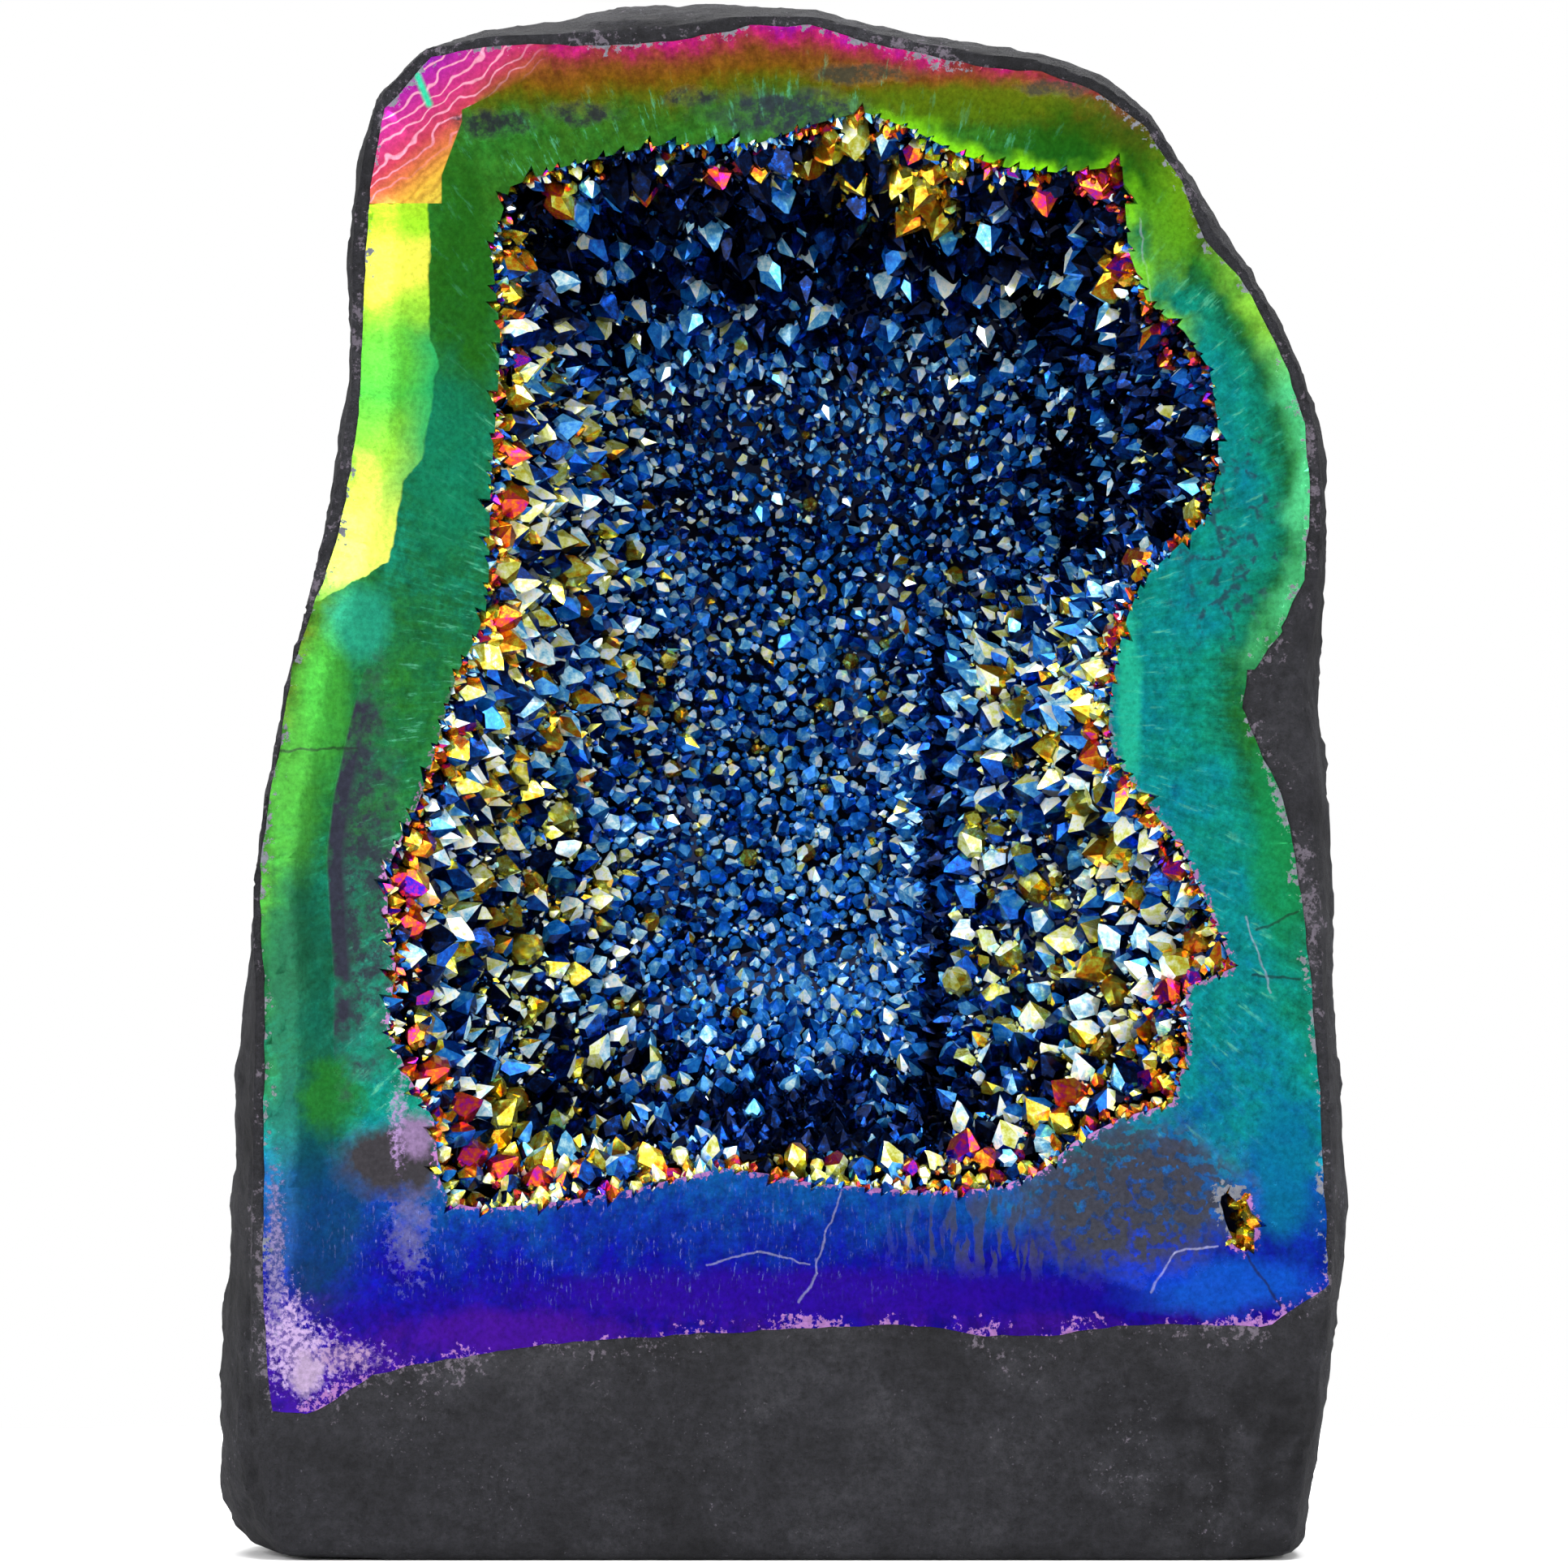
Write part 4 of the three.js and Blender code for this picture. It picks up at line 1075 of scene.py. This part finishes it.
    # Grains of bare quartz along the lower edge, and squiggles where the film peeled on the right.
    grains = add("TexNoise", {"Vector": place, "Scale": 1 / 1.3, "Detail": 3.0, "Roughness": 0.7})
    squiggles = add("TexVoronoi", {"Vector": wobbly, "Scale": 1 / 5}, feature="DISTANCE_TO_EDGE")
    squiggle = add("MapRange", {"Value": squiggles, "From Min": 0.1, "From Max": 0.04, "To Max": 0.75})
    broken_up = add("MapRange", {"Value": blots, "From Min": 0.46, "From Max": 0.54})
    squiggle = add("Math", {0: squiggle, 1: broken_up}, operation="MULTIPLY")
    squiggle = add("Math", {0: squiggle, 1: patch(add, place, (75, 170), (8, 16), 1.4, 3)}, operation="MULTIPLY")
    colour = add("Mix", {"Factor": squiggle, "A": colour, "B": "#26384c"}, data_type="RGBA")
    sprinkle = add("TexNoise", {"Vector": place, "Scale": 1 / 0.9, "Detail": 3.0, "Roughness": 0.7})
    sprinkle = add("MapRange", {"Value": sprinkle, "From Min": 0.44, "From Max": 0.54, "To Min": 0.25, "To Max": 1.0})
    for middle, half, raggedness, grain, tint in BARE:
        mask = patch(add, place, middle, half, raggedness, grain)
        if raggedness > 1:
            mask = add("Math", {0: mask, 1: sprinkle}, operation="MULTIPLY")
        colour = add("Mix", {"Factor": mask, "A": colour, "B": tint}, data_type="RGBA")
        dull = add("Math", {0: dull, 1: mask}, operation="MAXIMUM")
    for start, end in CRACKS:
        mask = add("Math", {0: crack(add, wobbly, start, end, 0.35), 1: 0.65}, operation="MULTIPLY")
        colour = add("Mix", {"Factor": mask, "A": colour, "B": "#1c1820"}, data_type="RGBA")
    for start, end in PALE_LINES:
        mask = add("Math", {0: crack(add, wobbly, start, end, 0.25), 1: 0.35}, operation="MULTIPLY")
        colour = add("Mix", {"Factor": mask, "A": colour, "B": "#a8a8c8"}, data_type="RGBA")
    # Painted highlights: lime along the opening at the upper right, green along the outer edge there, and lilac along
    # the opening below.
    thin = add("Math", {0: grains, 1: 6.0, 2: opening}, operation="MULTIPLY_ADD")
    in_places = add("TexNoise", {"Vector": place, "Scale": 1 / 6, "Detail": 2.0})
    uneven = add("Math", {0: in_places, 1: 9.0, 2: opening}, operation="MULTIPLY_ADD")
    lime = add("MapRange", {"Value": uneven, "From Min": 8.0, "From Max": 4.4}, interpolation_type="SMOOTHSTEP")
    upper = add("Math", {0: patch(add, place, (35, 237), (19, 10), 0.3, 6), 1: 1.0}, operation="MULTIPLY")
    right = add("Math", {0: patch(add, place, (62, 215), (8, 16), 0.3, 6), 1: 0.7}, operation="MULTIPLY")
    lime = add("Math", {0: lime, 1: add("Math", {0: upper, 1: right}, operation="MAXIMUM")}, operation="MULTIPLY")
    colour = add("Mix", {"Factor": lime, "A": colour, "B": "#84dc18"}, data_type="RGBA")
    # Painted highlight: green along the outer edge at the upper right.
    glow = add("Math", {0: in_places, 1: 7.0, 2: edge}, operation="MULTIPLY_ADD")
    glow = add("MapRange", {"Value": glow, "From Min": 7.5, "From Max": 3.0, "To Max": 0.9}, interpolation_type="SMOOTHSTEP")
    glow = add("Math", {0: glow, 1: patch(add, place, (80, 190), (12, 34), 0.3, 6)}, operation="MULTIPLY")
    high_up = add("MapRange", {"Value": z, "From Min": 196.0, "From Max": 206.0})
    glow_colour = add("Mix", {"Factor": high_up, "A": "#54cc88", "B": "#88cc40"}, data_type="RGBA")
    colour = add("Mix", {"Factor": glow, "A": colour, "B": glow_colour}, data_type="RGBA")
    lilac = add("MapRange", {"Value": thin, "From Min": 3.7, "From Max": 3.3})
    below = add("MapRange", {"Value": z, "From Min": 150.0, "From Max": 120.0, "To Max": 0.8})
    colour = add(
        "Mix", {"Factor": add("Math", {0: lilac, 1: below}, operation="MULTIPLY"), "A": colour, "B": "#a86ca8"}, data_type="RGBA"
    )
    # The chipped outer edge.
    ragged = add("Math", {0: grains, 1: 6.0, 2: edge}, operation="MULTIPLY_ADD")
    places = add("TexNoise", {"Vector": place, "Scale": 1 / 11, "Detail": 2.0})
    ragged = add("Math", {0: places, 1: -5.0, 2: ragged}, operation="MULTIPLY_ADD")
    chip = add("MapRange", {"Value": ragged, "From Min": 0.6, "From Max": 0.2})
    low_tone = add("MapRange", {"Value": z, "From Min": 50.0, "From Max": 46.0})
    chip_colour = add("Mix", {"Factor": low_tone, "A": "#64666e", "B": "#80588c"}, data_type="RGBA")
    colour = add("Mix", {"Factor": chip, "A": colour, "B": chip_colour}, data_type="RGBA")
    dull = add("Math", {0: dull, 1: chip}, operation="MAXIMUM")
    speckle = add("TexNoise", {"Vector": place, "Scale": 1 / 0.9, "Detail": 4.0, "Roughness": 0.75})
    speckle = add("MapRange", {"Value": speckle, "From Min": 0.3, "From Max": 0.7, "To Min": 0.7, "To Max": 1.32})
    colour = add("Mix", {"Factor": 1.0, "A": colour, "B": speckle}, data_type="RGBA", blend_type="MULTIPLY")
    # Painted shade: behind the sawn face the band is darkened to near-black blue, like the shaded gaps between the
    # points.
    _, behind, _ = add("SeparateXYZ", {0: place}).node.outputs
    behind = add("MapRange", {"Value": behind, "From Min": FRONT / MM + 0.8, "From Max": FRONT / MM + 2})
    colour = add("Mix", {"Factor": behind, "A": colour, "B": "#0a1230"}, data_type="RGBA")
    rough = add("MapRange", {"Value": dull, "To Min": 0.22, "To Max": 0.65})
    metal = add("MapRange", {"Value": dull, "To Min": 0.5, "To Max": 0.1})
    swell = add("TexNoise", {"Vector": place, "Scale": 1 / 16, "Detail": 2.0})
    relief = add("Bump", {"Height": swell, "Distance": 0.5 * MM, "Strength": 0.5})
    relief = add("Bump", {"Height": grains, "Distance": 0.03 * MM, "Strength": 0.6, "Normal": relief})
    sockets = {"Base Color": colour, "Metallic": metal, "Roughness": rough, "Normal": relief, "Specular IOR Level": 0.1}
    add("OutputMaterial", {"Surface": add("BsdfPrincipled", sockets)})
    return material


rim = finish_piece(as_mesh(band_shape, "polished_rim"), "quartz_band", rim_material())

# %% [markdown]
# The same film lies on the points, where growth left faces as flat as mirrors. Each facet shows one colour, and is
# bright only when it faces a light. So the material is a smooth metal whose colour comes from the facet's value.

# %% The film on the quartz points
POINT_FILM = [
    (0.0, "#0a0c16"),
    (0.09, "#0a183c"),
    (0.2, "#084098"),
    (0.32, "#1474cc"),
    (0.42, "#58a8d4"),
    (0.5, "#bce6f0"),
    (0.56, "#fafcf8"),
    (0.62, "#ecf4a0"),
    (0.69, "#ccd040"),
    (0.76, "#c88c18"),
    (0.83, "#c04c10"),
    (0.89, "#b02048"),
    (0.94, "#8c1090"),
    (1.0, "#2814a8"),
]
# Where the film is silvery, light also comes back out of the quartz itself, so it is less of a metal there.
POINT_METAL = [(0.0, 1.0), (0.18, 0.9), (0.28, 0.6), (0.42, 0.4), (0.6, 0.35), (0.68, 0.85), (1.0, 0.85)]


def point_material():
    material, add = new_material("quartz points under a titanium film")
    place = add("VectorMath", {0: add("TexCoord").node.outputs["Object"], "Scale": 1 / MM}, operation="SCALE")
    film = add("Attribute", attribute_name="film").node.outputs["Fac"]
    drift = add("TexNoise", {"Vector": place, "Scale": 1 / 1.4, "Detail": 3.0, "Roughness": 0.7})
    drift = add("Math", {0: drift, 1: -0.5}, operation="ADD")
    order = add("Math", {0: drift, 1: 0.45, 2: film}, operation="MULTIPLY_ADD")
    colour = set_stops(add("ValToRGB", {"Fac": order}), POINT_FILM)
    metal = set_stops(add("ValToRGB", {"Fac": film}), POINT_METAL)
    shader = add("BsdfPrincipled", {"Base Color": colour, "Metallic": metal, "Roughness": 0.13})
    add("OutputMaterial", {"Surface": shader})
    return material


filmed = point_material()
crust = finish_piece(points_mesh, "crystal_crust", filmed)
small_points = finish_piece(small_mesh, "crystal_crust", filmed)

# %% [markdown]
# ## The studio
#
# The geode stands on a plain pale floor under large soft lights. Flat mirrors are bright only where they see a
# light, so the lights are few and large, with dark between them. That is what makes some facets flash and leaves
# their neighbours deep blue.

# %% Floor, lights and world
CENTRE = (cad_box[0] + cad_box[1]) / 2


def softbox(name, place, size, power, tint="#ffffff"):
    light = bpy.data.lights.new(name, "AREA")
    light.shape = "RECTANGLE"
    light.size, light.size_y = size
    light.energy = power
    light.color = linear(tint)[:3]
    lamp = bpy.data.objects.new(name, light)
    lamp.location = Vector(place)
    lamp.rotation_euler = (CENTRE - lamp.location).to_track_quat("-Z", "Y").to_euler()
    lamp.visible_camera = False
    bpy.context.scene.collection.objects.link(lamp)
    return lamp


def pale_floor():
    shape = bmesh.new()
    bmesh.ops.create_circle(shape, cap_ends=True, segments=128, radius=0.42)
    floor = as_object(as_mesh(shape, "floor"))
    floor.location.z = -0.0002
    material, add = new_material("pale matt paper")
    shader = add("BsdfPrincipled", {"Base Color": "#f2f2f2", "Roughness": 0.9})
    add("OutputMaterial", {"Surface": shader})
    floor.data.materials.append(material)


def studio_world():
    world = bpy.data.worlds.new("studio")
    bpy.context.scene.world = world
    world.use_nodes = True
    tree = world.node_tree
    tree.nodes.clear()
    add = functools.partial(node, tree)
    seen = add("LightPath")
    strength = add("MapRange", {"Value": seen, "To Min": 0.3, "To Max": 1.0})
    add("OutputWorld", {"Surface": add("Background", {"Color": "#ffffff", "Strength": strength})})


pale_floor()
studio_world()
softbox("left softbox", (-0.8, -0.85, 0.5), (0.36, 0.6), 5.6)
softbox("right softbox", (0.85, -0.9, 0.4), (0.3, 0.5), 4.2)
softbox("top softbox", (0.1, -0.55, 1.1), (0.6, 0.4), 4.4)
softbox("left strip", (-0.35, -1.3, 0.1), (0.2, 0.3), 1.8)
softbox("right strip", (0.5, -1.2, 0.75), (0.4, 0.2), 2.4)
softbox("upper left strip", (-0.45, -0.9, 0.95), (0.2, 0.4), 2.2)
softbox("far left panel", (-0.9, -0.3, 0.35), (0.5, 0.8), 6)
softbox("far right panel", (0.9, -0.32, 0.3), (0.5, 0.7), 5)
softbox("high panel", (0.0, -0.2, 0.95), (0.9, 0.5), 6)
softbox("background light", (0.0, 0.9, 1.2), (1.6, 0.8), 45)

# %% [markdown]
# The photo was taken from straight ahead with a long lens, so the sawn face shows its true outline. The camera
# looks level at the middle of the frame.

# %% Camera
FRAME_WIDTH = 262.75 * MM  # how much of the sawn face's plane the picture spans
LENS = 300.0
SENSOR = 36.0
camera_data = bpy.data.cameras.new("camera")
camera_data.lens = LENS
camera_data.sensor_width = SENSOR
camera_data.clip_start = 0.1
camera_data.clip_end = 50
camera = bpy.data.objects.new("camera", camera_data)
camera.location = (0.5 * MM, FRONT - FRAME_WIDTH * LENS / SENSOR, 130 * MM)
camera.rotation_euler = (math.pi / 2, 0, 0)
bpy.context.scene.collection.objects.link(camera)
bpy.context.scene.camera = camera
bpy.context.scene.view_settings.view_transform = "Standard"
